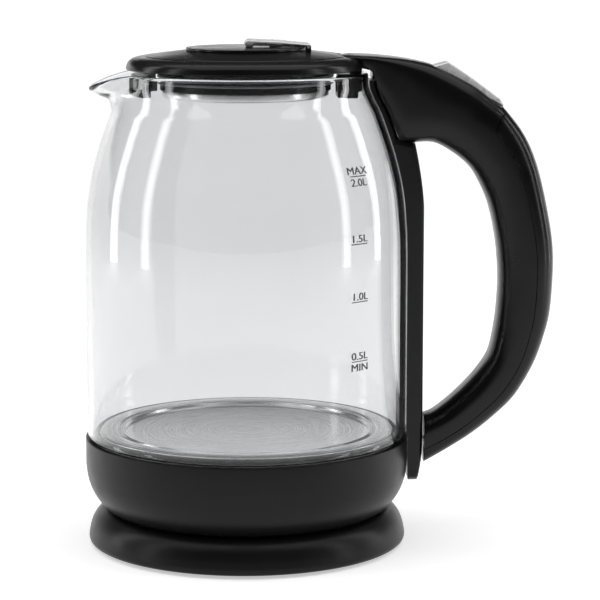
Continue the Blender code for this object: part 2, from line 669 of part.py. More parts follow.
def loop_rows():
    """Matched places on the inner and outer sides of the handle's loop, as drawn.

    Each row is inner x, z, outer x, z, half width and squareness.
    """
    w = HANDLE_HALF_WIDTH
    return [
        (0.0600, 0.2240, 0.0718, 0.2372, w - 0.0002, 5), (0.0655, 0.2120, 0.0814, 0.2357, w, 4.5),
        (0.0712, 0.1985, 0.0903, 0.2334, w, 4), (0.0795, 0.1965, 0.1000, 0.2293, w, 3.5),
        (0.0900, 0.1964, 0.1104, 0.2236, w, 3.2), (0.1000, 0.1912, 0.1177, 0.2182, w, 3),
        (0.1080, 0.1842, 0.1246, 0.2125, w, 3), (0.1135, 0.1750, 0.1345, 0.1995, w, 2.8),
        (0.1174, 0.1654, 0.1410, 0.1840, w, 2.8), (0.1205, 0.1515, 0.1462, 0.1620, w, 2.8),
        (0.1220, 0.1400, 0.1487, 0.1460, w, 2.8), (0.1225, 0.1280, DRAWN_REACH, 0.1325, w, 2.8),
        (0.1218, 0.1150, 0.1480, 0.1160, w, 2.8), (0.1205, 0.1045, 0.1456, 0.1040, w - 0.0001, 2.8),
        (0.1178, 0.0930, 0.1402, 0.0885, w - 0.0003, 2.8), (0.1120, 0.0840, 0.1312, 0.0728, w - 0.0006, 2.8),
        (0.1040, 0.0752, 0.1210, 0.0624, w - 0.0010, 2.8), (0.0960, 0.0680, 0.1100, 0.0535, w - 0.0015, 2.8),
        (0.0905, 0.0640, 0.0990, 0.0465, w - 0.0021, 3), (0.0872, 0.0628, 0.0905, 0.0414, w - 0.0027, 3),
        (0.0866, 0.0625, 0.0866, 0.0392, w - 0.0031, 3)]


def fitted_x(x):
    """Fit a drawn x of the handle between the neck, the strip and the full reach."""
    if x <= DRAWN_NECK_X:
        return x
    if x < DRAWN_STRIP_X:
        share = (x - DRAWN_NECK_X) / (DRAWN_STRIP_X - DRAWN_NECK_X)
        return x + share * (STRIP_OUTER_X - DRAWN_STRIP_X)
    stretch = (HANDLE_REACH - STRIP_OUTER_X) / (DRAWN_REACH - DRAWN_STRIP_X)
    return STRIP_OUTER_X + (x - DRAWN_STRIP_X) * stretch


def handle_rows():
    """All rows of the handle from its nose to its foot."""
    fitted = [(fitted_x(row[0]), row[1], fitted_x(row[2]), *row[3:]) for row in loop_rows()]
    return nose_rows() + fitted


def full_section(row, shrink=0.0, steps=20):
    """A rounded section between a row's inner and outer places."""
    inner = Vector((row[0], 0.0, row[1]))
    outer = Vector((row[2], 0.0, row[3]))
    centre = (inner + outer) / 2
    across = outer - inner
    depth = across.length / 2 - shrink
    across.normalize()
    width = row[4] - shrink
    power = 2.0 / row[5]
    points = []
    for step in range(steps):
        angle = math.tau * (step + 0.5) / steps
        u = math.copysign(abs(math.cos(angle)) ** power, math.cos(angle))
        v = math.copysign(abs(math.sin(angle)) ** power, math.sin(angle))
        points.append(centre + across * (depth * u) + Vector((0.0, width * v, 0.0)))
    return points


def parting_section(row, share, side_gap=0.0):
    """A box that takes in everything outward of a share of the section."""
    inner = Vector((row[0], 0.0, row[1]))
    outer = Vector((row[2], 0.0, row[3]))
    across = outer - inner
    near = inner + across * share + across.normalized() * side_gap
    far = outer + across.normalized() * 0.006
    half = 0.02
    return [near + Vector((0, -half, 0)), far + Vector((0, -half, 0)),
            far + Vector((0, half, 0)), near + Vector((0, half, 0))]


def slope_point(along, out):
    """Place on the handle's sloping top, as (x, z)."""
    start = Vector((fitted_x(SLOPE_START[0]), SLOPE_START[1]))
    end = Vector((fitted_x(SLOPE_END[0]), SLOPE_END[1]))
    line = (end - start).normalized()
    normal = Vector((-line.y, line.x))
    place = start + line * along + normal * out
    return (place.x, place.y)


def slope_outline(pairs):
    return [slope_point(along, out) for along, out in pairs]


def build_clearance(pot):
    """Guide for the room that the handle's top leaves for strip, glass and rim."""
    low_z = STRIP_STEP_Z - 0.004
    profile = [(0.0, low_z), (strip_inner(STRIP_STEP_Z) + STRIP_THIN + GAP, low_z)]
    for height in (STRIP_STEP_Z, 0.2025, 0.209, NECK_START_Z, 0.2185, STRIP_TOP_Z + GAP):
        profile.append((strip_inner(height) + STRIP_THIN + 2 * GAP, height))
    rim = MOUTH_RADIUS + 0.001
    profile += [(rim, STRIP_TOP_Z + 3 * GAP), (rim, MOUTH_Z + 0.0012), (0.0, MOUTH_Z + 0.0012)]
    return turned("handle_clearance", profile, RUBBER, pot, steps=96)


def build_handle(pot):
    """Hollow grip and its outer cover, parted along a curve near the back."""
    rows = handle_rows()
    solid = [full_section(row) for row in rows]
    hollow_sections = [full_section(row, HANDLE_WALL, 16) for row in rows[COVER_FIRST_ROW + 1:-3]]
    hollow = lofted("handle_hollow", hollow_sections, RUBBER, pot)
    outside = rows[COVER_FIRST_ROW:]
    reach = Vector((outside[0][0] - outside[1][0], 0.0, outside[0][1] - outside[1][1])).normalized()
    last = outside[-1]
    parting_rows = outside + [(last[0] - 0.004, last[1], last[2] - 0.004, *last[3:])]
    parting_sections = [parting_section(row, COVER_SHARE) for row in parting_rows]
    parting = lofted("cover_room", parting_sections, RUBBER, pot)
    inside = []
    for i, row in enumerate(parting_rows):
        section = parting_section(row, COVER_SHARE, GAP)
        shift = reach * (-2 * GAP) if i == 0 else Vector()
        inside.append([point + shift for point in section])
    cover_room = lofted("cover_space", inside, RUBBER, pot)

    grip = lofted("handle_grip", solid, BLACK, pot)
    cut(grip, parting)
    cut(grip, hollow)
    cut(grip, build_clearance(pot))
    cover = lofted("handle_cover", solid, BLACK, pot)
    cut(cover, cover_room, "INTERSECT")
    cut(cover, hollow)
    pin_bore = bar_cutter("hinge_bore", (HINGE_X, -HINGE_PIN_REACH - GAP, HINGE_Z),
                          (HINGE_X, HINGE_PIN_REACH + GAP, HINGE_Z), HINGE_PIN_RADIUS + GAP, pot)
    cut(grip, pin_bore)
    return grip, cover, pin_bore


def build_handle_screw(strip, grip, cover, pot):
    """Screw that holds the handle's foot to the strip, from the housing's side."""
    height = 0.050
    head_x = CUP_RADIUS + GAP + GROOVE_DEPTH + 0.0003
    hole = turned("handle_screw_hole", screw_hole_profile(0.0), RUBBER, pot, steps=16)
    screw = build_screw("handle_screw", (0.0, 0.0), 0.0, pot)
    for piece in (hole, screw):
        piece.rotation_euler = (0.0, math.pi / 2, 0.0)
        piece.location = (head_x, 0.0, height)
    for piece in (strip, grip, cover):
        cut(piece, hole)


def build_switch(grip, pot):
    """Steam switch in its pocket: body, bimetal, pivot and rocking lever."""
    end = SWITCH_LENGTH
    pivot = slope_point(SWITCH_PIVOT_ALONG, -SWITCH_PIVOT_DEPTH)
    room = SWITCH_CLEARANCE
    pocket = extruded("switch_pocket", slope_outline([
        (0.0008 - room, 0.010), (end + room, 0.010), (end + room, -0.0075), (0.034, -0.0075),
        (0.034, -0.020), (0.008, -0.020), (0.008, -0.0075), (0.0008 - room, -0.0075)]),
        SWITCH_HALF_WIDTH + room, RUBBER, pot)
    cut(grip, pocket)
    origin = (pivot[0], 0.0, pivot[1])
    rocker = extruded("power_switch", slope_outline([
        (0.0008, 0.0002), (0.0030, 0.0030), (0.0057, 0.0049), (0.0090, 0.0050), (0.0230, 0.0034),
        (0.0365, 0.0014), (end - 0.0006, 0.0002), (end, -0.0005), (end, -0.0015), (0.0252, -0.0020),
        (0.0240, -0.0045), (0.0180, -0.0045), (0.0168, -0.0020), (0.0008, -0.0015)]),
        SWITCH_HALF_WIDTH, CHROME, pot, origin)
    pin_reach = SWITCH_HALF_WIDTH + room + 0.002
    rod("switch_pin", (pivot[0], -pin_reach, pivot[1]), (pivot[0], pin_reach, pivot[1]),
        SWITCH_PIN_RADIUS, STEEL, pot, steps=12)
    bore = bar_cutter("switch_bore", (pivot[0], -pin_reach - GAP, pivot[1]),
                      (pivot[0], pin_reach + GAP, pivot[1]), SWITCH_PIN_RADIUS + GAP, pot)
    cut(rocker, bore)
    cut(grip, bore)
    extruded("steam_switch_body", slope_outline([
        (0.0120, -0.0190), (0.0330, -0.0190), (0.0330, -0.0095), (0.0120, -0.0095)]),
        SWITCH_HALF_WIDTH - 0.0006, NYLON, pot)
    disc_start, disc_end = slope_point(0.0098, -0.0138), slope_point(0.0103, -0.0138)
    rod("steam_bimetal", (disc_start[0], 0.0, disc_start[1]), (disc_end[0], 0.0, disc_end[1]),
        0.0046, BRASS, pot, steps=20)


def build_steam_inlet(pot):
    """Bracket inside the mouth that leads steam to the handle."""
    roof = 0.2319
    back = MOUTH_RADIUS - GLASS_WALL - INLET_CLEARANCE
    front, step = back - 0.0114, back - 0.0054
    bracket = extruded("steam_inlet", [
        (front, 0.2176), (back - 0.0018, 0.2176), (back - 0.0018, 0.2205), (back, 0.2215), (back, roof),
        (step, roof), (step, 0.2290), (front, 0.2290)], INLET_HALF_WIDTH, BLACK, pot)
    slot = extruded("steam_slot", [
        (front - 0.0018, 0.2200), (back - 0.0062, 0.2200), (back - 0.0062, 0.2262),
        (front - 0.0018, 0.2262)], INLET_HALF_WIDTH - INLET_WALL, RUBBER, pot)
    cut(bracket, slot)


# ----------------------------------------------------------------------- lid

def lid_box(name, x_range, y_range, z_range, lid):
    """A block for a lug, in the pot's own places."""
    half = (y_range[1] - y_range[0]) / 2
    outline = [(x_range[0], z_range[0]), (x_range[1], z_range[0]), (x_range[1], z_range[1]),
               (x_range[0], z_range[1])]
    block = extruded(name, outline, half, BLACK, lid)
    block.location.y = (y_range[0] + y_range[1]) / 2
    return block


def build_lid(lid, hinge_bore):
    """Lid shell with hinge lugs and a notch around the handle's nose."""
    under = LID_TOP_Z - LID_SHELL
    shell = turned("lid_body", [
        (LID_RADIUS, LID_BOTTOM_Z), (LID_RADIUS - 0.0002, 0.2331), (LID_RADIUS - 0.0009, 0.2350),
        (LID_RADIUS - 0.0024, 0.2366), (LID_RADIUS - 0.0058, 0.2375), (LID_RADIUS - 0.0108, 0.2381),
        (DISC_RADIUS + 0.0004, LID_TOP_Z - 0.0002), (0.0, LID_TOP_Z - 0.0002), (0.0, under),
        (DISC_RADIUS, under), (LID_RADIUS - 0.0108, 0.2358), (LID_RADIUS - 0.0060, 0.2352),
        (LID_RADIUS - 0.0026, 0.2340), (LID_RADIUS - 0.0024, LID_BOTTOM_Z)], BLACK, lid)
    nose_x = NOSE_TIP_X + NOSE_RADIUS
    notch = turned("lid_notch", [
        (0.0, 0.225), (NOSE_RADIUS + SEAM_GAP, 0.225), (NOSE_RADIUS + SEAM_GAP, 0.245), (0.0, 0.245)],
        RUBBER, lid, (nose_x, 0.0), steps=64)
    for side in (-1, 1):
        lug_y = sorted(side * place for place in HINGE_LUG_Y)
        lug_z = (HINGE_Z - 0.0021, HINGE_Z + 0.0004)
        lug = lid_box(f"hinge_lug_{side + 2}", HINGE_LUG_X, lug_y, lug_z, lid)
        cut(shell, lug, "UNION")
        ear_start = TAB_HALF_WIDTH + TAB_EAR_GAP
        ear_y = sorted((side * ear_start, side * (ear_start + TAB_EAR_WIDTH)))
        ear = lid_box(f"tab_ear_{side + 2}", (0.0289, 0.0313), ear_y, (0.2395, 0.2433), lid)
        cut(shell, ear, "UNION")
    cut(shell, notch)
    cut(shell, hinge_bore)
    rod("lid_hinge_pin", (HINGE_X, -HINGE_PIN_REACH, HINGE_Z), (HINGE_X, HINGE_PIN_REACH, HINGE_Z),
        HINGE_PIN_RADIUS, STEEL, lid, steps=12)

    disc_z = LID_TOP_Z - 0.0002 + GAP
    turned("lid_disc", [
        (0.0, disc_z), (DISC_RADIUS, disc_z), (DISC_RADIUS, disc_z + DISC_THICKNESS - 0.0003),
        (DISC_RADIUS - 0.0004, disc_z + DISC_THICKNESS), (0.0, disc_z + DISC_THICKNESS)], BLACK, lid)
    flange_radius = LID_RADIUS - 0.0029
    flange_z = 0.2320
    plug = turned("lid_plug", [
        (PLUG_RADIUS - 0.0024, PLUG_BOTTOM_Z), (PLUG_RADIUS, PLUG_BOTTOM_Z), (PLUG_RADIUS, flange_z),
        (flange_radius, flange_z), (flange_radius, flange_z + 0.0012),
        (PLUG_RADIUS - 0.0024, flange_z + 0.0012)], BLACK, lid)
    cut(plug, notch)
    for i, height in enumerate((0.2249, 0.2279)):
        seal_in = PLUG_RADIUS + GAP
        turned(f"lid_seal_{i + 1}", [
            (seal_in, height), (seal_in + 0.0011, height), (seal_in + 0.0011, height + 0.0010),
            (seal_in, height + 0.0013)], SILICONE, lid)
    cap = PLUG_RADIUS - 0.001
    sheet = 0.0006
    cap_top = PLUG_BOTTOM_Z - GAP
    turned("lid_cap", [
        (0.0, CAP_BOTTOM_Z), (cap - 0.0012, CAP_BOTTOM_Z), (cap, CAP_BOTTOM_Z + 0.0012), (cap, cap_top),
        (cap - sheet, cap_top), (cap - sheet, CAP_BOTTOM_Z + 0.0015),
        (cap - 0.0015, CAP_BOTTOM_Z + sheet), (0.0, CAP_BOTTOM_Z + sheet)], STEEL, lid)
    return shell


def build_tab(shell, lid):
    """Pull tab that tips up on a pin near the handle's side of the disc."""
    rest_z = LID_TOP_Z - 0.0002 + GAP + DISC_THICKNESS + GAP
    origin = (TAB_PIVOT_X, 0.0, TAB_PIVOT_Z)
    tab = extruded("lid_tab", [
        (-0.0009, 0.2446), (0.0003, 0.2457), (0.0020, 0.2460), (0.0170, 0.2453), (0.0300, 0.2438),
        (0.0314, 0.2432), (0.0318, 0.2423), (0.0312, 0.2414), (0.0298, 0.2412), (0.0290, 0.2423),
        (0.0176, 0.2430), (0.0174, rest_z), (0.0115, rest_z), (0.0113, 0.2432), (0.0042, 0.2434),
        (0.0032, rest_z), (0.0002, rest_z), (-0.0007, 0.2432)],
        TAB_HALF_WIDTH, CHROME, lid, origin)
    reach = TAB_HALF_WIDTH + TAB_EAR_GAP + TAB_EAR_WIDTH
    past = reach + 0.001
    rod("tab_pin", (TAB_PIVOT_X, -reach, TAB_PIVOT_Z), (TAB_PIVOT_X, reach, TAB_PIVOT_Z),
        TAB_PIN_RADIUS, STEEL, lid, steps=12)
    bore = bar_cutter("tab_bore", (TAB_PIVOT_X, -past, TAB_PIVOT_Z), (TAB_PIVOT_X, past, TAB_PIVOT_Z),
                      TAB_PIN_RADIUS + GAP, lid)
    cut(tab, bore)
    cut(shell, bore)


def add_anchor(name, place, parent=None):
    """An empty on a joint's axis."""
    anchor = bpy.data.objects.new(name, None)
    bpy.context.scene.collection.objects.link(anchor)
    anchor.location = place
    anchor.parent = parent
    return anchor


def build_kettle():
    base = add_anchor("kettle_axis", (AXIS_X, 0.0, 0.0))
    pot = add_anchor("swivel_axis", (0.0, 0.0, POT_BOTTOM_Z), base)
    lid = add_anchor("lid_hinge_axis", (HINGE_X, 0.0, HINGE_Z), base)
    cover_z = build_base_shell(base)
    build_base_feet(cover_z, base)
    build_connector_tower(base)
    build_cord_inlet(cover_z, base)
    build_coupler(pot)
    build_lower_housing(pot)
    spreader_low = build_heater(pot)
    build_thermostat(spreader_low, pot)
    build_glass(pot)
    build_filter(pot)
    strip = build_strip(pot)
    grip, cover, hinge_bore = build_handle(pot)
    build_handle_screw(strip, grip, cover, pot)
    build_switch(grip, pot)
    grip.modifiers.new("flat_faces", "TRIANGULATE")
    build_steam_inlet(pot)
    shell = build_lid(lid, hinge_bore)
    build_tab(shell, lid)


clear_scene()
build_kettle()
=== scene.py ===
"""Looks of a glass electric kettle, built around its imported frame.

Metres, +Z up. Shapes that turn about the pot's axis are modelled about x = 0
and their objects stand at AXIS_X, where the frame has the axis.
"""
import json
import math

import bmesh
import bpy
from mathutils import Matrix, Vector


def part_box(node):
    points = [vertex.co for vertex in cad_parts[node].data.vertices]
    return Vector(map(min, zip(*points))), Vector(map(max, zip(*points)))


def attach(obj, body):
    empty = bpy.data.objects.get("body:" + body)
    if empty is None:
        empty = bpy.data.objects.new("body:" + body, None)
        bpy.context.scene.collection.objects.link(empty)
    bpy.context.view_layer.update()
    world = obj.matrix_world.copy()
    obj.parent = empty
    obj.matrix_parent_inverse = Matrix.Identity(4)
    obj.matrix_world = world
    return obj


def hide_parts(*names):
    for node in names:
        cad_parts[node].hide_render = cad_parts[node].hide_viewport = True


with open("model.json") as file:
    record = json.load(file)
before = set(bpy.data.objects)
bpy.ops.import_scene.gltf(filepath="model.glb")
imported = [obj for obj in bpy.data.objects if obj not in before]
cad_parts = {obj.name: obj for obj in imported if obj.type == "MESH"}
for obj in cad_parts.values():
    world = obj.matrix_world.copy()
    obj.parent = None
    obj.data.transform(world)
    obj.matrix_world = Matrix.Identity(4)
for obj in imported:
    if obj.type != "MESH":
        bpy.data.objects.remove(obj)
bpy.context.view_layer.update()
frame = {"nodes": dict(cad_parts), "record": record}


# Places read from the frame
BASE_LOW, BASE_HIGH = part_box("base_shell")
HOUSING_LOW, HOUSING_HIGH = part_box("lower_housing")
GLASS_LOW, GLASS_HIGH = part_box("glass_jar")
LID_LOW, LID_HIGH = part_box("lid_body")
PLUG_LOW, PLUG_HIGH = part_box("lid_plug")
CAP_LOW, CAP_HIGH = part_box("lid_cap")
DISC_LOW, DISC_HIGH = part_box("lid_disc")
TAB_LOW, TAB_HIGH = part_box("lid_tab")
PLATE_LOW, PLATE_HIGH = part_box("heater_plate")
COVER_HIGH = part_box("handle_cover")[1]
AXIS_X = (BASE_LOW[0] + BASE_HIGH[0]) / 2
BASE_RADIUS = (BASE_HIGH[0] - BASE_LOW[0]) / 2
CUP_RADIUS = (HOUSING_HIGH[0] - HOUSING_LOW[0]) / 2
HANDLE_REACH = COVER_HIGH[0] - AXIS_X - 0.0001
HOUSING_TOP_Z = HOUSING_HIGH[2]
POT_BOTTOM_Z = HOUSING_LOW[2]
BASE_TOP_Z = BASE_HIGH[2]
BASE_EDGE_Z = BASE_LOW[2]
GLASS_BOTTOM_Z = GLASS_LOW[2]
MOUTH_Z = GLASS_HIGH[2]
LID_BOTTOM_Z = LID_LOW[2]
DISC_TOP_Z = DISC_HIGH[2]

# Sizes of the looks, all within the frame's solids
GLASS_RADIUS = 0.0778
GLASS_WALL = 0.0028
MOUTH_RADIUS = 0.0590
NECK_RADIUS = 0.0645
NECK_START_Z = 0.212
SPOUT_REACH = 0.0756
SPOUT_TIP_Z = 0.2225
SPOUT_HALF_ANGLE = math.radians(34)
HANDLE_HALF_WIDTH = 0.0155
STRIP_HALF_WIDTH = 0.0095
STRIP_OUTER_X = 0.0862
STRIP_STEP_Z = 0.196
STRIP_TAPER = 0.0044
STRIP_TAPER_Z = 0.165
NOSE_RADIUS = 0.01515
NOSE_TIP_X = 0.0444
NOSE_GROOVE_INSET = 0.0046
NOSE_GROOVE_HALF_WIDTH = 0.0004
SEAM_GAP = 0.0007
LID_RADIUS = 0.0574
DISC_RADIUS = 0.0286
PLUG_RADIUS = 0.0410
GAP = 0.0003
STEEL_WALL = 0.0006
INLET_HALF_WIDTH = 0.0098
INLET_SLOT_HALF_WIDTH = 0.0065
EAR_INNER_Y = 0.0084
EAR_OUTER_Y = 0.0101
FILTER_RADIUS = MOUTH_RADIUS - GLASS_WALL - 0.0014
FILTER_LOW_Z = 0.2190
FILTER_HIGH_Z = 0.2292
FILTER_HALF_ANGLE = math.radians(30)
FILTER_MESH_HALF_ANGLE = math.radians(24.4)
FILTER_MESH_INSET = 0.0024
FILTER_WINDOWS = 3
FILTER_WINDOW_SPAN = math.radians(50)
FILTER_WIRE_RADIUS = 0.00011
KNURL_PITCH = 0.00125
KNURL_SIZE = 0.62
FINE_STEPS = 192
SHARP_DEGREES = 38.0

SLOPE_START = Vector((0.0893, 0.2335))
SLOPE_END = Vector((0.1248, 0.2142))
SWITCH_HALF_WIDTH = 0.0072
SWITCH_CLEARANCE = 0.0008
SWITCH_START = 0.0008
SWITCH_END = 0.0396

BODIES = frame["record"]["behaviour"]["bodies"]
NODE_BODY = {node: body for body, nodes in BODIES.items() for node in nodes}
NODE_SLOT = {row["node"]: row["material_slot"] for row in frame["record"]["subparts"]}


# ------------------------------------------------------------------- studio

CAMERA_SENSOR_MM = 36.0
CAMERA_LENS_MM = 148.3
CAMERA_DISTANCE = 1.189
CAMERA_HEIGHT = 0.3083
CAMERA_DOWN = math.radians(9.04)
CAMERA_ASIDE = math.radians(1.261)

FLOOR_HALF_WIDTH = 4.0
FLOOR_FRONT = 3.0
FLOOR_BACK = 2.1
FLOOR_BEND = 0.45
FLOOR_RISE = 0.62
FLOOR_BEND_STEPS = 12

STRIP_LIGHT_DISTANCE = 1.1
STRIP_LIGHT_HEIGHT = 0.40
STRIP_LIGHT_SIZE = (0.13, 1.15)
STRIP_LIGHTS = ((74, 2.2), (106, 2.6))


def build_camera():
    """Long lens a little above the lid, looking slightly down."""
    data = bpy.data.cameras.new("camera")
    data.sensor_width = CAMERA_SENSOR_MM
    data.lens = CAMERA_LENS_MM
    camera = bpy.data.objects.new("camera", data)
    bpy.context.scene.collection.objects.link(camera)
    camera.location = (AXIS_X, -CAMERA_DISTANCE, CAMERA_HEIGHT)
    camera.rotation_euler = (math.pi / 2 - CAMERA_DOWN, 0.0, -CAMERA_ASIDE)
    bpy.context.scene.camera = camera


def area_light(name, place, target, size, power):
    data = bpy.data.lights.new(name, "AREA")
    data.shape = "RECTANGLE"
    data.size, data.size_y = size
    data.energy = power
    light = bpy.data.objects.new(name, data)
    bpy.context.scene.collection.objects.link(light)
    light.location = place
    aim = Vector(target) - Vector(place)
    light.rotation_euler = aim.to_track_quat("-Z", "Y").to_euler()


def build_floor():
    """A pale floor that sweeps up behind the kettle."""
    work = bmesh.new()
    bend_start = FLOOR_BACK - FLOOR_BEND
    line = [Vector((0.0, -FLOOR_FRONT, 0.0)), Vector((0.0, bend_start, 0.0))]
    for step in range(1, FLOOR_BEND_STEPS + 1):
        turn = math.pi / 2 * step / FLOOR_BEND_STEPS
        line.append(Vector((0.0, bend_start + FLOOR_BEND * math.sin(turn),
                            FLOOR_BEND - FLOOR_BEND * math.cos(turn))))
    line.append(Vector((0.0, FLOOR_BACK, FLOOR_RISE)))
    rows = [[work.verts.new(point + Vector((side * FLOOR_HALF_WIDTH, 0, 0))) for side in (-1, 1)]
            for point in line]
    for low, high in zip(rows, rows[1:]):
        work.faces.new((low[0], low[1], high[1], high[0]))
    mesh = bpy.data.meshes.new("floor")
    work.to_mesh(mesh)
    work.free()
    mesh.shade_smooth()
    floor = bpy.data.objects.new("floor", mesh)
    bpy.context.scene.collection.objects.link(floor)
    made = bpy.data.materials.new("floor_white")
    made.use_nodes = True
    shader = made.node_tree.nodes["Principled BSDF"]
    shader.inputs["Base Color"].default_value = (0.93, 0.93, 0.93, 1.0)
    shader.inputs["Roughness"].default_value = 0.9
    shader.inputs["Specular IOR Level"].default_value = 0.1
    shader.inputs["Emission Color"].default_value = (1.0, 1.0, 1.0, 1.0)
    shader.inputs["Emission Strength"].default_value = 0.5
    mesh.materials.append(made)


def build_lights():
    """A soft box above, two tall strips on each side, and a wash on the backdrop."""
    middle = (AXIS_X + 0.035, 0.0, 0.12)
    area_light("top_box", (AXIS_X, -0.10, 1.55), (AXIS_X, -0.05, 0.0), (2.6, 1.8), 21.0)
    for side, name in ((-1, "left"), (1, "right")):
        for turn, power in STRIP_LIGHTS:
            place = (AXIS_X + side * STRIP_LIGHT_DISTANCE * math.sin(math.radians(turn)),
                     -STRIP_LIGHT_DISTANCE * math.cos(math.radians(turn)), STRIP_LIGHT_HEIGHT)
            area_light(f"{name}_strip_{turn}", place, middle, STRIP_LIGHT_SIZE, power)
    area_light("back_wash", (0.0, 1.2, 1.3), (0.0, 2.1, 0.1), (3.0, 0.5), 5.0)


def build_world():
    world = bpy.data.worlds.new("studio")
    world.use_nodes = True
    background = world.node_tree.nodes["Background"]
    background.inputs["Color"].default_value = (1.0, 1.0, 1.0, 1.0)
    background.inputs["Strength"].default_value = 0.05
    bpy.context.scene.world = world
    bpy.context.scene.view_settings.view_transform = "Standard"


# ---------------------------------------------------------------- materials

def start_material(name):
    made = bpy.data.materials.new(name)
    made.use_nodes = True
    tree = made.node_tree
    return made, tree, tree.nodes["Principled BSDF"]


def noise_source(tree, scale, detail=3.0, stretch=(1.0, 1.0, 1.0)):
    """Noise fixed to the piece, optionally drawn out along an axis."""
    place = tree.nodes.new("ShaderNodeTexCoord")
    mapping = tree.nodes.new("ShaderNodeMapping")
    mapping.inputs["Scale"].default_value = stretch
    noise = tree.nodes.new("ShaderNodeTexNoise")
    noise.inputs["Scale"].default_value = scale
    noise.inputs["Detail"].default_value = detail
    tree.links.new(place.outputs["Object"], mapping.inputs["Vector"])
    tree.links.new(mapping.outputs["Vector"], noise.inputs["Vector"])
    return noise.outputs["Fac"]


def ring_source(tree, scale):
    """Fine rings about the piece's own vertical axis, as from turning."""
    place = tree.nodes.new("ShaderNodeTexCoord")
    split = tree.nodes.new("ShaderNodeSeparateXYZ")
    tree.links.new(place.outputs["Object"], split.inputs["Vector"])
    flat = tree.nodes.new("ShaderNodeCombineXYZ")
    tree.links.new(split.outputs["X"], flat.inputs["X"])
    tree.links.new(split.outputs["Y"], flat.inputs["Y"])
    length = tree.nodes.new("ShaderNodeVectorMath")
    length.operation = "LENGTH"
    tree.links.new(flat.outputs["Vector"], length.inputs[0])
    noise = tree.nodes.new("ShaderNodeTexNoise")
    noise.noise_dimensions = "1D"
    noise.inputs["Scale"].default_value = scale
    noise.inputs["Detail"].default_value = 4.0
    tree.links.new(length.outputs["Value"], noise.inputs["W"])
    return noise.outputs["Fac"]


def spread(tree, source, low, high, target):
    """Send a source's middle range to a socket as values from low to high."""
    span = tree.nodes.new("ShaderNodeMapRange")
    span.inputs["From Min"].default_value = 0.3
    span.inputs["From Max"].default_value = 0.7
    span.inputs["To Min"].default_value = low
    span.inputs["To Max"].default_value = high
    tree.links.new(source, span.inputs["Value"])
    tree.links.new(span.outputs["Result"], target)


def tint(tree, source, dark, light, target):
    """Colour between two near shades."""
    ramp = tree.nodes.new("ShaderNodeValToRGB")
    ramp.color_ramp.elements[0].position = 0.3
    ramp.color_ramp.elements[1].position = 0.7
    ramp.color_ramp.elements[0].color = (*dark, 1.0)
    ramp.color_ramp.elements[1].color = (*light, 1.0)
    tree.links.new(source, ramp.inputs["Fac"])
    tree.links.new(ramp.outputs["Color"], target)


def relief(tree, source, shader, distance, strength=1.0):
    bump = tree.nodes.new("ShaderNodeBump")
    bump.inputs["Strength"].default_value = strength
    bump.inputs["Distance"].default_value = distance
    tree.links.new(source, bump.inputs["Height"])
    tree.links.new(bump.outputs["Normal"], shader.inputs["Normal"])


def plastic(name, dark, light, rough, grain_scale, grain_depth, level=0.5):
    """Moulded plastic: cloudy colour, uneven polish and a fine grain."""
    made, tree, shader = start_material(name)
    shader.inputs["Specular IOR Level"].default_value = level
    tint(tree, noise_source(tree, 38.0), dark, light, shader.inputs["Base Color"])
    spread(tree, noise_source(tree, 90.0, 4.0), rough[0], rough[1], shader.inputs["Roughness"])
    relief(tree, noise_source(tree, grain_scale, 2.0), shader, grain_depth, 0.6)
    return made


def metal(name, dark, light, rough, stretch=None, scale=60.0, depth=0.00001, metallic=1.0):
    """Metal with brush lines, in rings unless a stretch is given."""
    made, tree, shader = start_material(name)
    shader.inputs["Metallic"].default_value = metallic
    lines = noise_source(tree, scale, 4.0, stretch) if stretch else ring_source(tree, scale)
    tint(tree, noise_source(tree, 45.0), dark, light, shader.inputs["Base Color"])
    spread(tree, lines, rough[0], rough[1], shader.inputs["Roughness"])
    relief(tree, lines, shader, depth, 0.5)
    return made


def clear_glass():
    made, tree, shader = start_material("clear_glass")
    shader.inputs["Transmission Weight"].default_value = 1.0
    shader.inputs["IOR"].default_value = 1.46
    tint(tree, noise_source(tree, 12.0), (0.795, 0.800, 0.805), (0.815, 0.820, 0.825),
         shader.inputs["Base Color"])
    spread(tree, noise_source(tree, 30.0), 0.0, 0.012, shader.inputs["Roughness"])
    relief(tree, noise_source(tree, 14.0, 1.0), shader, 0.0003, 0.25)
    return made


def silicone():
    made, tree, shader = start_material("grey_silicone")
    shader.inputs["Transmission Weight"].default_value = 0.35
    shader.inputs["IOR"].default_value = 1.41
    tint(tree, noise_source(tree, 60.0), (0.60, 0.61, 0.62), (0.68, 0.69, 0.70), shader.inputs["Base Color"])
    spread(tree, noise_source(tree, 120.0), 0.30, 0.42, shader.inputs["Roughness"])
    relief(tree, noise_source(tree, 900.0), shader, 0.00003)
    return made


def seal_with_painted_highlight():
    """Dark gasket whose foot is painted pale: a painted highlight that stands for the jar's bright bottom
    edge.
    """
    made = plastic("seal_with_painted_highlight", (0.02, 0.02, 0.02), (0.05, 0.05, 0.05), (0.18, 0.30), 900.0, 0.00003)
    tree = made.node_tree
    place = tree.nodes.new("ShaderNodeTexCoord")
    split = tree.nodes.new("ShaderNodeSeparateXYZ")
    tree.links.new(place.outputs["Object"], split.inputs["Vector"])
    # Height mask for the painted highlight at the gasket's foot.
    level = tree.nodes.new("ShaderNodeMapRange")
    level.inputs["From Min"].default_value = GLASS_BOTTOM_Z + 0.0009
    level.inputs["From Max"].default_value = GLASS_BOTTOM_Z + 0.0013
    tree.links.new(split.outputs["Z"], level.inputs["Value"])
    # Pale below the mask's edge is a painted highlight of the jar's bottom edge; dark above is the rest of
    # the gasket.
    tint(tree, level.outputs["Result"], (0.75, 0.75, 0.76), (0.03, 0.03, 0.03),
         tree.nodes["Principled BSDF"].inputs["Base Color"])
    return made


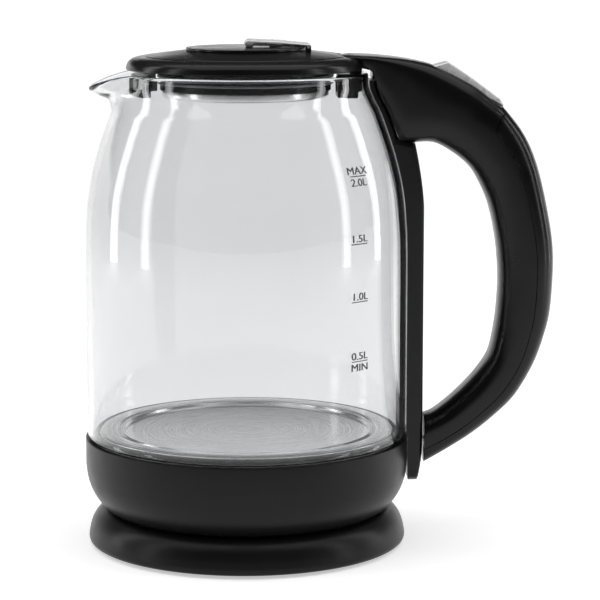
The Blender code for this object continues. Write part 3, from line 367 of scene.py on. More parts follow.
def make_materials():
    """Every finish by its name, which is its slot's name wherever it has a slot."""
    return {
        "black_plastic": plastic("black_plastic", (0.0032, 0.0032, 0.0034), (0.0050, 0.0050, 0.0053),
                                 (0.20, 0.28), 2600.0, 0.000012, 0.25),
        "satin_black_plastic": plastic("satin_black_plastic", (0.0042, 0.0042, 0.0045),
                                       (0.0062, 0.0062, 0.0066), (0.30, 0.38), 3200.0, 0.00003, 0.2),
        "black_rubber": plastic("black_rubber", (0.012, 0.012, 0.012), (0.022, 0.022, 0.021),
                                (0.72, 0.85), 1500.0, 0.00006, 0.3),
        "stainless_steel": metal("stainless_steel", (0.80, 0.80, 0.81), (0.86, 0.86, 0.87),
                                 (0.22, 0.30), None, 1400.0, 0.000004),
        "brass": metal("brass", (0.68, 0.52, 0.24), (0.78, 0.62, 0.32), (0.22, 0.36), (1.0, 1.0, 8.0),
                       300.0),
        "aluminium": metal("aluminium", (0.70, 0.70, 0.71), (0.78, 0.78, 0.79), (0.32, 0.46),
                           (9.0, 1.0, 1.0), 200.0),
        "grey_silicone": silicone(),
        "clear_glass": clear_glass(),
        "white_nylon": plastic("white_nylon", (0.72, 0.70, 0.64), (0.80, 0.78, 0.72), (0.45, 0.58),
                               1800.0, 0.00003),
        "satin_chrome": metal("satin_chrome", (0.80, 0.80, 0.81), (0.88, 0.88, 0.89), (0.24, 0.34),
                              (1.0, 14.0, 1.0), 260.0, 0.00001, 0.4),
        "red_wire": plastic("red_wire", (0.38, 0.04, 0.03), (0.48, 0.06, 0.05), (0.42, 0.55), 1400.0,
                            0.00004),
        "blue_wire": plastic("blue_wire", (0.04, 0.09, 0.34), (0.06, 0.14, 0.44), (0.42, 0.55), 1400.0,
                             0.00004),
        "seal_with_painted_highlight": seal_with_painted_highlight(),
        "ink": plastic("ink", (0.035, 0.035, 0.036), (0.06, 0.06, 0.062), (0.5, 0.6), 2500.0, 0.00001),
    }


# ------------------------------------------------------------- mesh helpers

def smooth_line(points, per_span):
    """Points on a smooth line through the given vectors."""
    padded = [2 * points[0] - points[1]] + points + [2 * points[-1] - points[-2]]
    result = []
    for i in range(1, len(padded) - 2):
        before, start, end, after = padded[i - 1:i + 3]
        for step in range(per_span):
            t = step / per_span
            blend = (2 * start + (end - before) * t + (2 * before - 5 * start + 4 * end - after) * t ** 2
                     + (3 * start - before - 3 * end + after) * t ** 3)
            result.append(blend / 2)
    result.append(points[-1])
    return result


def rounded(corners, steps=5, closed=True):
    """An outline whose corners, given as (x, z, radius), are rounded by arcs."""
    result = []
    count = len(corners)
    for i, (x, z, radius) in enumerate(corners):
        here = Vector((x, z))
        if radius <= 0.0 or (not closed and i in (0, count - 1)):
            result.append((x, z))
            continue
        back = (Vector(corners[i - 1][:2]) - here)
        ahead = (Vector(corners[(i + 1) % count][:2]) - here)
        angle = back.angle(ahead)
        reach = min(radius / math.tan(angle / 2), 0.49 * back.length, 0.49 * ahead.length)
        start, end = here + back.normalized() * reach, here + ahead.normalized() * reach
        for step in range(steps + 1):
            t = step / steps
            place = start.lerp(here, t).lerp(here.lerp(end, t), t)
            result.append((place.x, place.y))
    return result


def finish_mesh(name, work, sharp=SHARP_DEGREES):
    bmesh.ops.remove_doubles(work, verts=work.verts, dist=2e-6)
    bmesh.ops.recalc_face_normals(work, faces=work.faces)
    mesh = bpy.data.meshes.new(name)
    work.to_mesh(mesh)
    work.free()
    mesh.shade_smooth()
    mesh.set_sharp_from_angle(angle=math.radians(sharp))
    return mesh


def new_object(name, mesh, place=(0.0, 0.0, 0.0)):
    piece = bpy.data.objects.new(name, mesh)
    bpy.context.scene.collection.objects.link(piece)
    piece.location = (AXIS_X + place[0], place[1], place[2])
    return piece


def turned(name, outline, steps=FINE_STEPS, sharp=SHARP_DEGREES):
    """A closed (radius, z) outline turned about the pot's axis."""
    work = bmesh.new()
    rings = []
    for radius, height in outline:
        if radius < 1e-6:
            rings.append([work.verts.new((0.0, 0.0, height))] * steps)
            continue
        rings.append([work.verts.new((radius * math.cos(math.tau * i / steps),
                                      radius * math.sin(math.tau * i / steps), height))
                      for i in range(steps)])
    for low, high in zip(rings, rings[1:] + rings[:1]):
        for i in range(steps):
            j = (i + 1) % steps
            corners = []
            for vert in (low[i], low[j], high[j], high[i]):
                if vert not in corners:
                    corners.append(vert)
            if len(corners) > 2:
                work.faces.new(corners)
    return new_object(name, finish_mesh(name, work, sharp))


def lofted(name, sections, sharp=SHARP_DEGREES, caps=True):
    """A skin over a row of closed sections with equal numbers of points."""
    work = bmesh.new()
    rings = [[work.verts.new(point) for point in section] for section in sections]
    count = len(rings[0])
    for low, high in zip(rings, rings[1:]):
        for i in range(count):
            work.faces.new((low[i], low[(i + 1) % count], high[(i + 1) % count], high[i]))
    if caps:
        work.faces.new(list(reversed(rings[0])))
        work.faces.new(rings[-1])
    return new_object(name, finish_mesh(name, work, sharp))


def extruded(name, outline, half_width, edge=0.0, sharp=SHARP_DEGREES, steps=3):
    """A closed (x, z) outline made wide across the kettle, with rounded rims."""
    sections = []
    area = sum(outline[i - 1][0] * z - outline[i - 1][1] * x for i, (x, z) in enumerate(outline))
    inward = 1.0 if area > 0 else -1.0
    layers = [(-half_width, 0.0)]
    if edge > 0.0:
        turns = [math.pi / 2 * step / steps for step in range(steps + 1)]
        layers = [(-half_width + edge - edge * math.sin(turn), edge - edge * math.cos(turn))
                  for turn in reversed(turns)]
    layers = layers + [(-y, inset) for y, inset in reversed(layers)]
    for y, inset in layers:
        ring = []
        count = len(outline)
        for i, (x, z) in enumerate(outline):
            here = Vector((x, z))
            along = Vector(outline[(i + 1) % count]) - Vector(outline[i - 1])
            side = Vector((-along.y, along.x)) * inward
            if side.length > 0:
                side.normalize()
            ring.append((*(here + side * inset), y))
        sections.append([(x, y_place, z) for x, z, y_place in ring])
    return lofted(name, sections, sharp)


def apply_cut(piece, cutter, operation="DIFFERENCE", keep=False):
    """Cut a piece now, and remove the cutter unless it is needed again."""
    change = piece.modifiers.new("cut", "BOOLEAN")
    change.operation = operation
    change.solver = "MANIFOLD"
    change.object = cutter
    graph = bpy.context.evaluated_depsgraph_get()
    mesh = bpy.data.meshes.new_from_object(piece.evaluated_get(graph))
    piece.modifiers.clear()
    piece.data = mesh
    if not keep:
        bpy.data.objects.remove(cutter, do_unlink=True)


def soften(piece, width, angle=40.0, segments=2):
    """Round a piece's hard edges, then shade it by its angles."""
    change = piece.modifiers.new("edges", "BEVEL")
    change.width = width
    change.segments = segments
    change.limit_method = "ANGLE"
    change.angle_limit = math.radians(angle)
    change.use_clamp_overlap = True
    graph = bpy.context.evaluated_depsgraph_get()
    mesh = bpy.data.meshes.new_from_object(piece.evaluated_get(graph))
    piece.modifiers.clear()
    piece.data = mesh
    mesh.shade_smooth()
    mesh.set_sharp_from_angle(angle=math.radians(SHARP_DEGREES))


def dress(piece, *nodes, slot=None, body=None, finish=None):
    """Put a piece on its nodes' body with their material, in their stead."""
    name = slot or NODE_SLOT[nodes[0]]
    piece.data.materials.clear()
    piece.data.materials.append(MATERIALS[finish or name])
    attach(piece, body or NODE_BODY[nodes[0]])
    if nodes:
        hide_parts(*nodes)
    return piece


# -------------------------------------------------------- base and housing

def build_base():
    """Power base: a low rounded dish turned over, with its flat top."""
    rise = [Vector((BASE_RADIUS - 0.0014, BASE_EDGE_Z)),
            Vector((BASE_RADIUS - 0.0004, BASE_EDGE_Z + 0.0008)),
            Vector((BASE_RADIUS, BASE_EDGE_Z + 0.0024)), Vector((BASE_RADIUS - 0.0003, 0.0062)),
            Vector((BASE_RADIUS - 0.0009, 0.0090)), Vector((BASE_RADIUS - 0.0021, 0.0122)),
            Vector((BASE_RADIUS - 0.0040, 0.0149)), Vector((BASE_RADIUS - 0.0062, 0.0167)),
            Vector((BASE_RADIUS - 0.0082, BASE_TOP_Z))]
    outer = [(p.x, min(p.y, BASE_TOP_Z)) for p in smooth_line(rise, 5)]
    inner_top = BASE_TOP_Z - 0.0024
    rest = [(0.0520, BASE_TOP_Z), (0.0515, BASE_TOP_Z - 0.0005), (0.0190, BASE_TOP_Z - 0.0005),
            (0.0185, BASE_TOP_Z), (0.0169, BASE_TOP_Z), (0.0169, inner_top), (0.0690, inner_top),
            (0.0728, 0.0115), (0.0750, 0.0075), (0.0752, BASE_EDGE_Z)]
    dress(turned("base_skin", outer + rest), "base_shell")


def build_housing():
    """Cup under the glass: straight band, then a soft shoulder inward."""
    fall = [Vector((CUP_RADIUS, 0.0400)), Vector((CUP_RADIUS - 0.0003, 0.0370)),
            Vector((CUP_RADIUS - 0.0010, 0.0328)), Vector((CUP_RADIUS - 0.0025, 0.0284)),
            Vector((CUP_RADIUS - 0.0046, 0.0246)), Vector((CUP_RADIUS - 0.0072, 0.0211)),
            Vector((CUP_RADIUS - 0.0092, 0.0190)), Vector((CUP_RADIUS - 0.0112, POT_BOTTOM_Z))]
    shoulder = [(p.x, max(p.y, POT_BOTTOM_Z)) for p in smooth_line(fall, 5)]
    top = rounded([(CUP_RADIUS - 0.0024, HOUSING_TOP_Z, 0.0003), (CUP_RADIUS, HOUSING_TOP_Z, 0.0006),
                   (CUP_RADIUS, 0.0400, 0.0)], closed=False)
    inside = [(0.0645, POT_BOTTOM_Z), (0.0645, 0.0201), (0.0685, 0.0201), (0.0713, 0.0250),
              (0.0747, 0.0320), (0.0763, 0.0400)]
    dress(turned("housing_skin", top + shoulder[1:] + inside), "lower_housing")


# -------------------------------------------------------------------- glass

def glass_side():
    """(radius, z) points up the outside of the jar to its neck."""
    shoulder = [Vector((GLASS_RADIUS, 0.0560)), Vector((GLASS_RADIUS, 0.105)),
                Vector((GLASS_RADIUS, 0.1400)),
                Vector((GLASS_RADIUS - 0.0005, 0.1570)), Vector((GLASS_RADIUS - 0.0021, 0.1735)),
                Vector((0.0724, 0.1885)), Vector((0.0681, 0.2022)), Vector((NECK_RADIUS, NECK_START_Z))]
    return smooth_line(shoulder, 6)


def neck_line(pull):
    """(radius, z) points from neck to lip, plain at pull 0 and the spout at 1."""
    plain = [Vector((NECK_RADIUS, NECK_START_Z)), Vector((0.0612, 0.2185)),
             Vector((MOUTH_RADIUS + 0.0003, 0.2235)), Vector((MOUTH_RADIUS, MOUTH_Z - 0.0013))]
    spout = [Vector((NECK_RADIUS, NECK_START_Z)), Vector((0.0657, 0.2167)), Vector((0.0703, 0.2189)),
             Vector((SPOUT_REACH - 0.0010, SPOUT_TIP_Z - 0.0013))]
    drop = pull ** 1.5
    mixed = [Vector((a.x + (b.x - a.x) * pull, a.y + (b.y - a.y) * drop)) for a, b in zip(plain, spout)]
    return smooth_line(mixed, 6)[1:]


def spout_pull(angle):
    share = min(1.0, abs(angle) / SPOUT_HALF_ANGLE)
    return (1.0 - share) ** 2 * (1.0 + 2.0 * share)


def glass_radius_at(height):
    line = glass_side() + neck_line(0.0)
    for low, high in zip(line, line[1:]):
        if low.y <= height <= high.y:
            return low.x + (high.x - low.x) * (height - low.y) / (high.y - low.y)
    return line[-1].x if height > line[-1].y else line[0].x


def glass_loop(pull):
    """The jar's wall cut open: up the outside, over the lip, down the inside."""
    line = glass_side() + neck_line(pull)
    inner = []
    for i, point in enumerate(line):
        ahead = line[min(i + 1, len(line) - 1)] - line[max(i - 1, 0)]
        side = Vector((-ahead.y, ahead.x)).normalized()
        inner.append(point + side * GLASS_WALL)
    lip = []
    centre = (line[-1] + inner[-1]) / 2
    arm = line[-1] - centre
    for step in range(1, 8):
        turn = math.pi * step / 8
        lip.append(centre + Vector((arm.x * math.cos(turn) - arm.y * math.sin(turn),
                                    arm.x * math.sin(turn) + arm.y * math.cos(turn))))
    foot = [Vector((GLASS_RADIUS - GLASS_WALL, GLASS_BOTTOM_Z + 0.0009)),
            Vector((GLASS_RADIUS - GLASS_WALL + 0.0006, GLASS_BOTTOM_Z + 0.0002)),
            Vector((GLASS_RADIUS - 0.0010, GLASS_BOTTOM_Z + 0.0001)),
            Vector((GLASS_RADIUS - 0.0001, GLASS_BOTTOM_Z + 0.0009))]
    return line + lip + inner[::-1] + foot


def build_glass():
    """Blown jar with a drawn-out pouring lip and a rounded rim."""
    columns = 256
    sections = []
    for column in range(columns):
        angle = math.tau * column / columns
        loop = glass_loop(spout_pull((angle + math.pi) % math.tau - math.pi))
        direction = Vector((-math.cos(angle), -math.sin(angle), 0.0))
        sections.append([direction * p.x + Vector((0, 0, p.y)) for p in loop])
    dress(lofted("glass_skin", sections + sections[:1], 60.0, caps=False), "glass_jar")


def build_heater():
    """Pressed steel floor with its raised rim, and the seal around it."""
    top = PLATE_HIGH[2]
    edge = (PLATE_HIGH[0] - PLATE_LOW[0]) / 2
    low = PLATE_LOW[2]
    dish = top - 0.0016
    corners = [(0.0, dish, 0.0), (0.0592, dish, 0.0005), (0.0600, top - 0.0001, 0.0005),
               (0.0616, top, 0.0004), (0.0622, top - 0.0009, 0.0003), (0.0634, top - 0.0009, 0.0003),
               (0.0640, top - 0.0001, 0.0004), (edge, top - 0.0003, 0.0010), (edge, low, 0.0001),
               (edge - STEEL_WALL, low, 0.0001), (edge - STEEL_WALL, top - 0.0018, 0.0004),
               (0.0580, dish - STEEL_WALL, 0.0), (0.0, dish - STEEL_WALL, 0.0)]
    dress(turned("plate_skin", rounded(corners)), "heater_plate")
    seal_low, seal_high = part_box("glass_seal")
    outer = (seal_high[0] - seal_low[0]) / 2
    lip = seal_high[2]
    corners = [(outer - 0.0026, seal_low[2], 0.0), (outer - 0.0004, seal_low[2], 0.0)]
    for rib in range(4):
        base = seal_low[2] + 0.0014 + 0.0016 * rib
        corners += [(outer - 0.0004, base, 0.0003), (outer, base + 0.0004, 0.0003),
                    (outer, base + 0.0009, 0.0003), (outer - 0.0004, base + 0.0013, 0.0003)]
    corners += [(outer - 0.0004, lip, 0.0003), (outer - 0.0026, lip, 0.0004)]
    dress(turned("seal_skin", rounded(corners, 3)), "glass_seal", finish="seal_with_painted_highlight")


# ------------------------------------------------------------------- handle

def handle_stations():
    """Matched places on the handle's inner and outer sides.

    Each row is inner x, z, outer x, z, half width and squareness.
    """
    w = HANDLE_HALF_WIDTH
    return [
        (0.0446, 0.2330, 0.0446, 0.2380, 0.0025, 6), (0.0464, 0.2326, 0.0464, 0.2384, 0.0075, 6),
        (0.0500, 0.2324, 0.0500, 0.2386, 0.0117, 6),
        (0.0550, 0.2322, 0.0550, 0.2384, 0.0144, 6), (0.0603, 0.2304, 0.0603, 0.2382, 0.0151, 6),
        (0.0600, 0.2240, 0.0718, 0.2372, 0.0153, 5), (0.0655, 0.2120, 0.0814, 0.2357, w, 4.5),
        (0.0712, 0.1985, 0.0903, 0.2334, w, 4), (0.0795, 0.1965, 0.1000, 0.2293, w, 3.5),
        (0.0900, 0.1964, 0.1104, 0.2236, w, 3.2), (0.1000, 0.1912, 0.1177, 0.2182, w, 3),
        (0.1080, 0.1842, 0.1246, 0.2125, w, 3), (0.1135, 0.1750, 0.1345, 0.1995, w, 2.8),
        (0.1174, 0.1654, 0.1410, 0.1840, w, 2.8), (0.1205, 0.1515, 0.1462, 0.1620, w, 2.8),
        (0.1220, 0.1400, 0.1487, 0.1460, w, 2.8), (0.1225, 0.1280, HANDLE_REACH, 0.1325, w, 2.8),
        (0.1218, 0.1150, 0.1480, 0.1160, w, 2.8),
        (0.1205, 0.1045, 0.1456, 0.1040, 0.0154, 2.8), (0.1178, 0.0930, 0.1402, 0.0885, 0.0152, 2.8),
        (0.1120, 0.0840, 0.1312, 0.0728, 0.0149, 2.8), (0.1040, 0.0752, 0.1210, 0.0624, 0.0145, 2.8),
        (0.0960, 0.0680, 0.1100, 0.0535, 0.0140, 2.8), (0.0905, 0.0640, 0.0990, 0.0465, 0.0134, 3),
        (0.0872, 0.0628, 0.0905, 0.0414, 0.0128, 3), (0.0866, 0.0625, 0.0866, 0.0392, 0.0124, 3)]


COVER_FIRST_ROW = 11
COVER_SHARE = 0.66


def as_vector(values):
    row = Vector((0.0,) * 6)
    for i, value in enumerate(values):
        row[i] = value
    return row


def dense_rows(per_span=5, first=0):
    return smooth_line([as_vector(values) for values in handle_stations()], per_span)[first * per_span:]


def full_section(row, steps=64):
    inner, outer = Vector((row[0], 0.0, row[1])), Vector((row[2], 0.0, row[3]))
    centre, across = (inner + outer) / 2, outer - inner
    depth = across.length / 2
    across.normalize()
    power = 2.0 / row[5]
    points = []
    for step in range(steps):
        angle = math.tau * (step + 0.5) / steps
        u = math.copysign(abs(math.cos(angle)) ** power, math.cos(angle))
        v = math.copysign(abs(math.sin(angle)) ** power, math.sin(angle))
        points.append(centre + across * (depth * u) + Vector((0.0, row[4] * v, 0.0)))
    return points


def parting_section(row, gap):
    """A box around everything outward of the line where grip and cover part."""
    inner, outer = Vector((row[0], 0.0, row[1])), Vector((row[2], 0.0, row[3]))
    across = (outer - inner).normalized()
    near = inner.lerp(outer, COVER_SHARE) + across * gap
    far = outer + across * 0.006
    aside = Vector((0.0, 0.02, 0.0))
    return [near - aside, far - aside, far + aside, near + aside]


def slope_point(along, out):
    line = (SLOPE_END - SLOPE_START).normalized()
    place = SLOPE_START + line * along + Vector((-line.y, line.x)) * out
    return (place.x, place.y)


def slope_outline(corners):
    return [(*slope_point(along, out), radius) for along, out, radius in corners]


def strip_inner(height):
    if height < GLASS_BOTTOM_Z + 0.001:
        return CUP_RADIUS + GAP
    return glass_radius_at(height) + 2 * GAP


def build_clearance():
    """Room that the handle's top leaves for the strip, the glass and the rim."""
    line = [(0.0, STRIP_STEP_Z - 0.004), (strip_inner(STRIP_STEP_Z) + 0.0041, STRIP_STEP_Z - 0.004)]
    for step in range(16):
        height = STRIP_STEP_Z + 0.0308 * step / 15
        line.append((strip_inner(height) + 0.0044, height))
    rim = MOUTH_RADIUS + 0.001
    line += [(rim, 0.2274), (rim, MOUTH_Z + 0.0012), (0.0, MOUTH_Z + 0.0012)]
    return turned("handle_clearance", line)


def build_handle():
    """Grip with its outer cover, parted near the back, and the switch pocket."""
    rows = dense_rows()
    sections = [full_section(row) for row in rows]
    outside = dense_rows(5, COVER_FIRST_ROW)
    past = as_vector((outside[-1][0] - 0.004, outside[-1][1], outside[-1][2] - 0.004, *outside[-1][3:]))
    parting = lofted("parting", [parting_section(row, 0.0) for row in outside + [past]])
    step_back = Vector((outside[0][0] - outside[1][0], 0.0, outside[0][1] - outside[1][1])).normalized()
    inside = [parting_section(row, GAP) for row in outside + [past]]
    inside[0] = [point - step_back * GAP * 1.5 for point in inside[0]]
    room = lofted("cover_space", inside)

    grip = lofted("grip_skin", sections)
    apply_cut(grip, parting)
    apply_cut(grip, build_clearance())
    start, end = SWITCH_START - SWITCH_CLEARANCE, SWITCH_END + SWITCH_CLEARANCE
    corners = ((start, 0.010), (end, 0.010), (end, -0.0075), (start, -0.0075))
    pocket = extruded("pocket", [slope_point(along, out) for along, out in corners],
                      SWITCH_HALF_WIDTH + SWITCH_CLEARANCE)
    apply_cut(grip, pocket)
    nose_groove(grip)
    soften(grip, 0.00035)
    dress(grip, "handle_grip")

    cover = lofted("cover_skin", sections)
    apply_cut(cover, room, "INTERSECT")
    soften(cover, 0.0004)
    dress(cover, "handle_cover")


def nose_groove(grip):
    """Fine groove that follows the nose's edge."""
    centre = NOSE_TIP_X + NOSE_RADIUS
    radius = NOSE_RADIUS - NOSE_GROOVE_INSET
    near, far = radius - NOSE_GROOVE_HALF_WIDTH, radius + NOSE_GROOVE_HALF_WIDTH
    outline = [(near, 0.2374), (far, 0.2374), (far, 0.2420), (near, 0.2420)]
    ring = turned("groove", outline, 96)
    ring.location.x += centre
    keep = turned("groove_keep", [(0.0, 0.236), (0.02, 0.236), (0.02, 0.244), (0.0, 0.244)], 4)
    keep.location.x += centre - 0.0205
    apply_cut(ring, keep, "INTERSECT")
    apply_cut(grip, ring)


def build_strip():
    """Upright against the glass, with rounded outer corners and a round foot."""
    low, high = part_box("handle_strip")
    count = 90
    sections = []
    for i in range(count + 1):
        height = low[2] + (high[2] - low[2]) * i / count
        inner = strip_inner(height)
        blend = min(1.0, max(0.0, (height - STRIP_STEP_Z) / 0.001))
        narrowing = max(0.0, (height - STRIP_TAPER_Z) / (STRIP_STEP_Z - STRIP_TAPER_Z))
        taper = STRIP_TAPER * narrowing ** 1.5
        outer = (STRIP_OUTER_X - taper) * (1 - blend) + (inner + 0.0036) * blend
        if height < 0.052:
            outer -= 0.0025 * ((0.052 - height) / 0.0215) ** 2
        end = max(0.0, 1 - (height - low[2]) / 0.006)
        half = STRIP_HALF_WIDTH * math.sqrt(max(0.0, 1 - end ** 2)) * 0.45 + STRIP_HALF_WIDTH * 0.55
        bevel = min(0.0016, (outer - inner) * 0.4)
        section = []
        for share in (-1.0, -0.5, 0.0, 0.5, 1.0):
            y = half * share
            section.append((math.sqrt(inner ** 2 - y ** 2), y, height))
        for step in range(6):
            turn = math.pi / 2 * step / 5
            y = half - bevel + bevel * math.cos(turn)
            section.append((math.sqrt(outer ** 2 - y ** 2) - bevel + bevel * math.sin(turn), y, height))
        section.append((outer, 0.0, height))
        for step in range(6):
            turn = math.pi / 2 * (1 - step / 5)
            y = -(half - bevel + bevel * math.cos(turn))
            section.append((math.sqrt(outer ** 2 - y ** 2) - bevel + bevel * math.sin(turn), y, height))
        sections.append(section)
    strip = lofted("strip_skin", sections, 50.0)
    dress(strip, "handle_strip")


def build_switch():
    """Rocking lever: a bright wedge with rounded rims."""
    start, end = SWITCH_START, SWITCH_END
    corners = slope_outline([
        (start, 0.0002, 0.0004), (0.0057, 0.0050, 0.0016), (0.0090, 0.0049, 0.0020),
        (0.0230, 0.0034, 0.0100), (0.0366, 0.0014, 0.0030), (end, -0.0004, 0.0008),
        (end, -0.0015, 0.0004), (0.0252, -0.0020, 0.0003), (0.0240, -0.0045, 0.0008),
        (0.0180, -0.0045, 0.0008), (0.0168, -0.0020, 0.0003), (start, -0.0015, 0.0004)])
    lever = extruded("switch_skin", rounded(corners, 4), SWITCH_HALF_WIDTH, 0.0009)
    dress(lever, "power_switch")


def build_steam_inlet():
    """Stepped block behind the rim, with a slot where steam goes in."""
    front, back, step, roof = 0.0438, 0.0552, 0.0498, 0.2319
    corners = [(front, 0.2176, 0.0005), (0.0534, 0.2176, 0.0008), (0.0534, 0.2205, 0.0004),
               (back, 0.2215, 0.0006), (back, roof, 0.0), (step, roof, 0.0), (step, 0.2290, 0.0003),
               (front, 0.2290, 0.0005)]
    inlet = extruded("inlet_skin", rounded(corners, 3), INLET_HALF_WIDTH, 0.0006)
    slot = extruded("slot", [(0.0420, 0.2200), (0.0490, 0.2200), (0.0490, 0.2262), (0.0420, 0.2262)],
                    INLET_SLOT_HALF_WIDTH)
    apply_cut(inlet, slot)
    dress(inlet, "steam_inlet")


# ---------------------------------------------------------------------- lid

def build_notch():
    """Room that the lid and its plug leave around the handle's nose."""
    edge = NOSE_RADIUS + SEAM_GAP
    notch = turned("notch", [(0.0, 0.225), (edge, 0.225), (edge, 0.245), (0.0, 0.245)])
    notch.location.x += NOSE_TIP_X + NOSE_RADIUS
    return notch


def build_lid_body(notch):
    """Lid shell: rolled rim, a fine step, and a shallow cone to the disc."""
    rim = [Vector((LID_RADIUS - 0.0003, LID_BOTTOM_Z)), Vector((LID_RADIUS, LID_BOTTOM_Z + 0.0004)),
           Vector((LID_RADIUS - 0.0002, 0.2331)), Vector((LID_RADIUS - 0.0009, 0.2349)),
           Vector((LID_RADIUS - 0.0024, 0.2364)), Vector((LID_RADIUS - 0.0050, 0.2373)),
           Vector((0.0500, 0.2377))]
    outer = [(p.x, p.y) for p in smooth_line(rim, 6)]
    top = LID_HIGH[2]
    cone_top = DISC_LOW[2] - GAP
    cone = rounded([(0.0500, 0.2377, 0.0), (0.0484, 0.2378, 0.0002), (0.0480, 0.2381, 0.0002),
                    (DISC_RADIUS + 0.0004, cone_top, 0.0004), (0.0, cone_top, 0.0)], 4, closed=False)
    under = [(0.0, 0.2386), (DISC_RADIUS, 0.2386), (0.0466, 0.2358), (0.0514, 0.2352), (0.0548, 0.2340),
             (0.0550, LID_BOTTOM_Z)]
    lid = turned("lid_skin", outer + cone[1:] + under)
    apply_cut(lid, notch, keep=True)
    ear_corners = [(0.0288, 0.2392, 0.0), (0.0314, 0.2392, 0.0), (0.0312, top, 0.0010),
                   (0.0290, top, 0.0010)]
    for side in (-1, 1):
        ear = extruded("ear", rounded(ear_corners, 4), (EAR_OUTER_Y - EAR_INNER_Y) / 2, 0.0002)
        ear.location.y = side * (EAR_INNER_Y + EAR_OUTER_Y) / 2
        apply_cut(lid, ear, "UNION")
    soften(lid, 0.0002, 50.0)
    dress(lid, "lid_body")


def build_disc():
    disc = rounded([(0.0, DISC_LOW[2], 0.0), (DISC_RADIUS, DISC_LOW[2], 0.0001),
                    (DISC_RADIUS, DISC_TOP_Z, 0.0004), (0.0, DISC_TOP_Z, 0.0)], 4)
    dress(turned("disc_skin", disc), "lid_disc")


def build_plug(notch):
    """Sleeve that hangs into the mouth, under a flange."""
    low, flange_low, flange_top = PLUG_LOW[2], PLUG_HIGH[2] - 0.0012, PLUG_HIGH[2]
    wall = PLUG_RADIUS - 0.0024
    corners = [(wall, low, 0.0002), (PLUG_RADIUS, low, 0.0004), (PLUG_RADIUS, flange_low, 0.0006),
               (0.0545, flange_low, 0.0002), (0.0545, flange_top, 0.0002), (wall, flange_top, 0.0)]
    plug = turned("plug_skin", rounded(corners, 4))
    apply_cut(plug, notch)
    soften(plug, 0.0002, 50.0)
    dress(plug, "lid_plug")


def build_lid_seals():
    for i in (1, 2):
        seal_low, seal_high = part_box(f"lid_seal_{i}")
        outer = (seal_high[0] - seal_low[0]) / 2
        corners = [(PLUG_RADIUS + GAP, seal_low[2], 0.0), (outer, seal_low[2] + 0.0001, 0.0003),
                   (outer, seal_high[2] - 0.0004, 0.0003), (PLUG_RADIUS + GAP, seal_high[2], 0.0)]
        dress(turned(f"lid_seal_skin_{i}", rounded(corners, 3)), f"lid_seal_{i}")


def build_cap():
    """Shallow steel dish under the plug."""
    low, top = CAP_LOW[2], CAP_HIGH[2]
    edge = PLUG_RADIUS - 0.001
    inner = edge - STEEL_WALL
    corners = [(0.0, low, 0.0), (edge, low, 0.0014), (edge, top, 0.0001), (inner, top, 0.0001),
               (inner, low + STEEL_WALL, 0.0009), (0.0, low + STEEL_WALL, 0.0)]
    dress(turned("cap_skin", rounded(corners, 6)), "lid_cap")


def build_lid():
    notch = build_notch()
    build_lid_body(notch)
    build_disc()
    build_plug(notch)
    build_lid_seals()
    build_cap()


def build_tab():
    """Pull tab: a domed bar with a lip and a middle post."""
    rest = DISC_TOP_Z + GAP
    corners = [(-0.0009, 0.2446, 0.0012), (0.0010, 0.2457, 0.0014), (0.0170, 0.2450, 0.0100),
               (0.0300, 0.2438, 0.0020), (0.0318, 0.2424, 0.0011), (0.0306, 0.2412, 0.0008),
               (0.0290, 0.2423, 0.0008), (0.0177, 0.2430, 0.0006), (0.0175, rest, 0.0003),
               (0.0114, rest, 0.0003), (0.0112, 0.2432, 0.0006), (0.0046, 0.2434, 0.0008),
               (0.0032, rest, 0.0005), (0.0002, rest, 0.0006)]
    half = (TAB_HIGH[1] - TAB_LOW[1]) / 2
    tab = extruded("tab_skin", rounded(corners, 5), half, 0.0009)
    dress(tab, "lid_tab")


def build_knurl():
    """Small pointed teeth in offset rows on the tab's raised end."""
    work = bmesh.new()
    rows, files = 15, 11
    reach = KNURL_SIZE * KNURL_PITCH
    for i in range(rows):
        for j in range(files):
            x = 0.0011 + KNURL_PITCH * i + (KNURL_PITCH / 2 if j % 2 else 0.0)
            y = KNURL_PITCH * (j - (files - 1) / 2)
            z = 0.24545 - 0.040 * (x - 0.001)
            peak = work.verts.new((x, y, z + 0.00052))
            ring = [work.verts.new((x + reach * math.cos(turn), y + reach * math.sin(turn), z - 0.0003))
                    for turn in (0.0, math.pi / 2, math.pi, 3 * math.pi / 2)]
            for k in range(4):
                work.faces.new((ring[k], ring[(k + 1) % 4], peak))
            work.faces.new(ring[::-1])
    knurl = new_object("tab_knurl", finish_mesh("tab_knurl", work, 20.0))
    dress(knurl, slot="satin_chrome", body="tab")


# ------------------------------------------------------------------- filter

def arc_band(name, radius_in, radius_out, half_angle, low, high, steps=48):
    sections = []
    for step in range(steps + 1):
        angle = math.pi + half_angle * (2 * step / steps - 1)
        sections.append([(r * math.cos(angle), r * math.sin(angle), z) for r, z in (
            (radius_in, low), (radius_out, low), (radius_out, high), (radius_in, high))])
    return lofted(name, sections)


def build_filter():
    """Pouring filter's black frame, with ribs between its windows."""
    outer = FILTER_RADIUS
    skin = arc_band("filter_skin", outer - 0.0042, outer, FILTER_HALF_ANGLE, FILTER_LOW_Z, FILTER_HIGH_Z)
    half_span = FILTER_WINDOW_SPAN / (2 * FILTER_WINDOWS)
    for i in range(FILTER_WINDOWS):
        start = FILTER_WINDOW_SPAN * i / FILTER_WINDOWS - FILTER_WINDOW_SPAN / 2
        window = arc_band("window", outer - 0.0062, outer + 0.002, half_span - 0.012,
                          FILTER_LOW_Z + 0.0020, FILTER_HIGH_Z - 0.0020, 12)
        window.rotation_euler.z = start + half_span
        bpy.context.view_layer.update()
        apply_cut(skin, window)
    soften(skin, 0.0003, 50.0)
    dress(skin, "filter_frame")


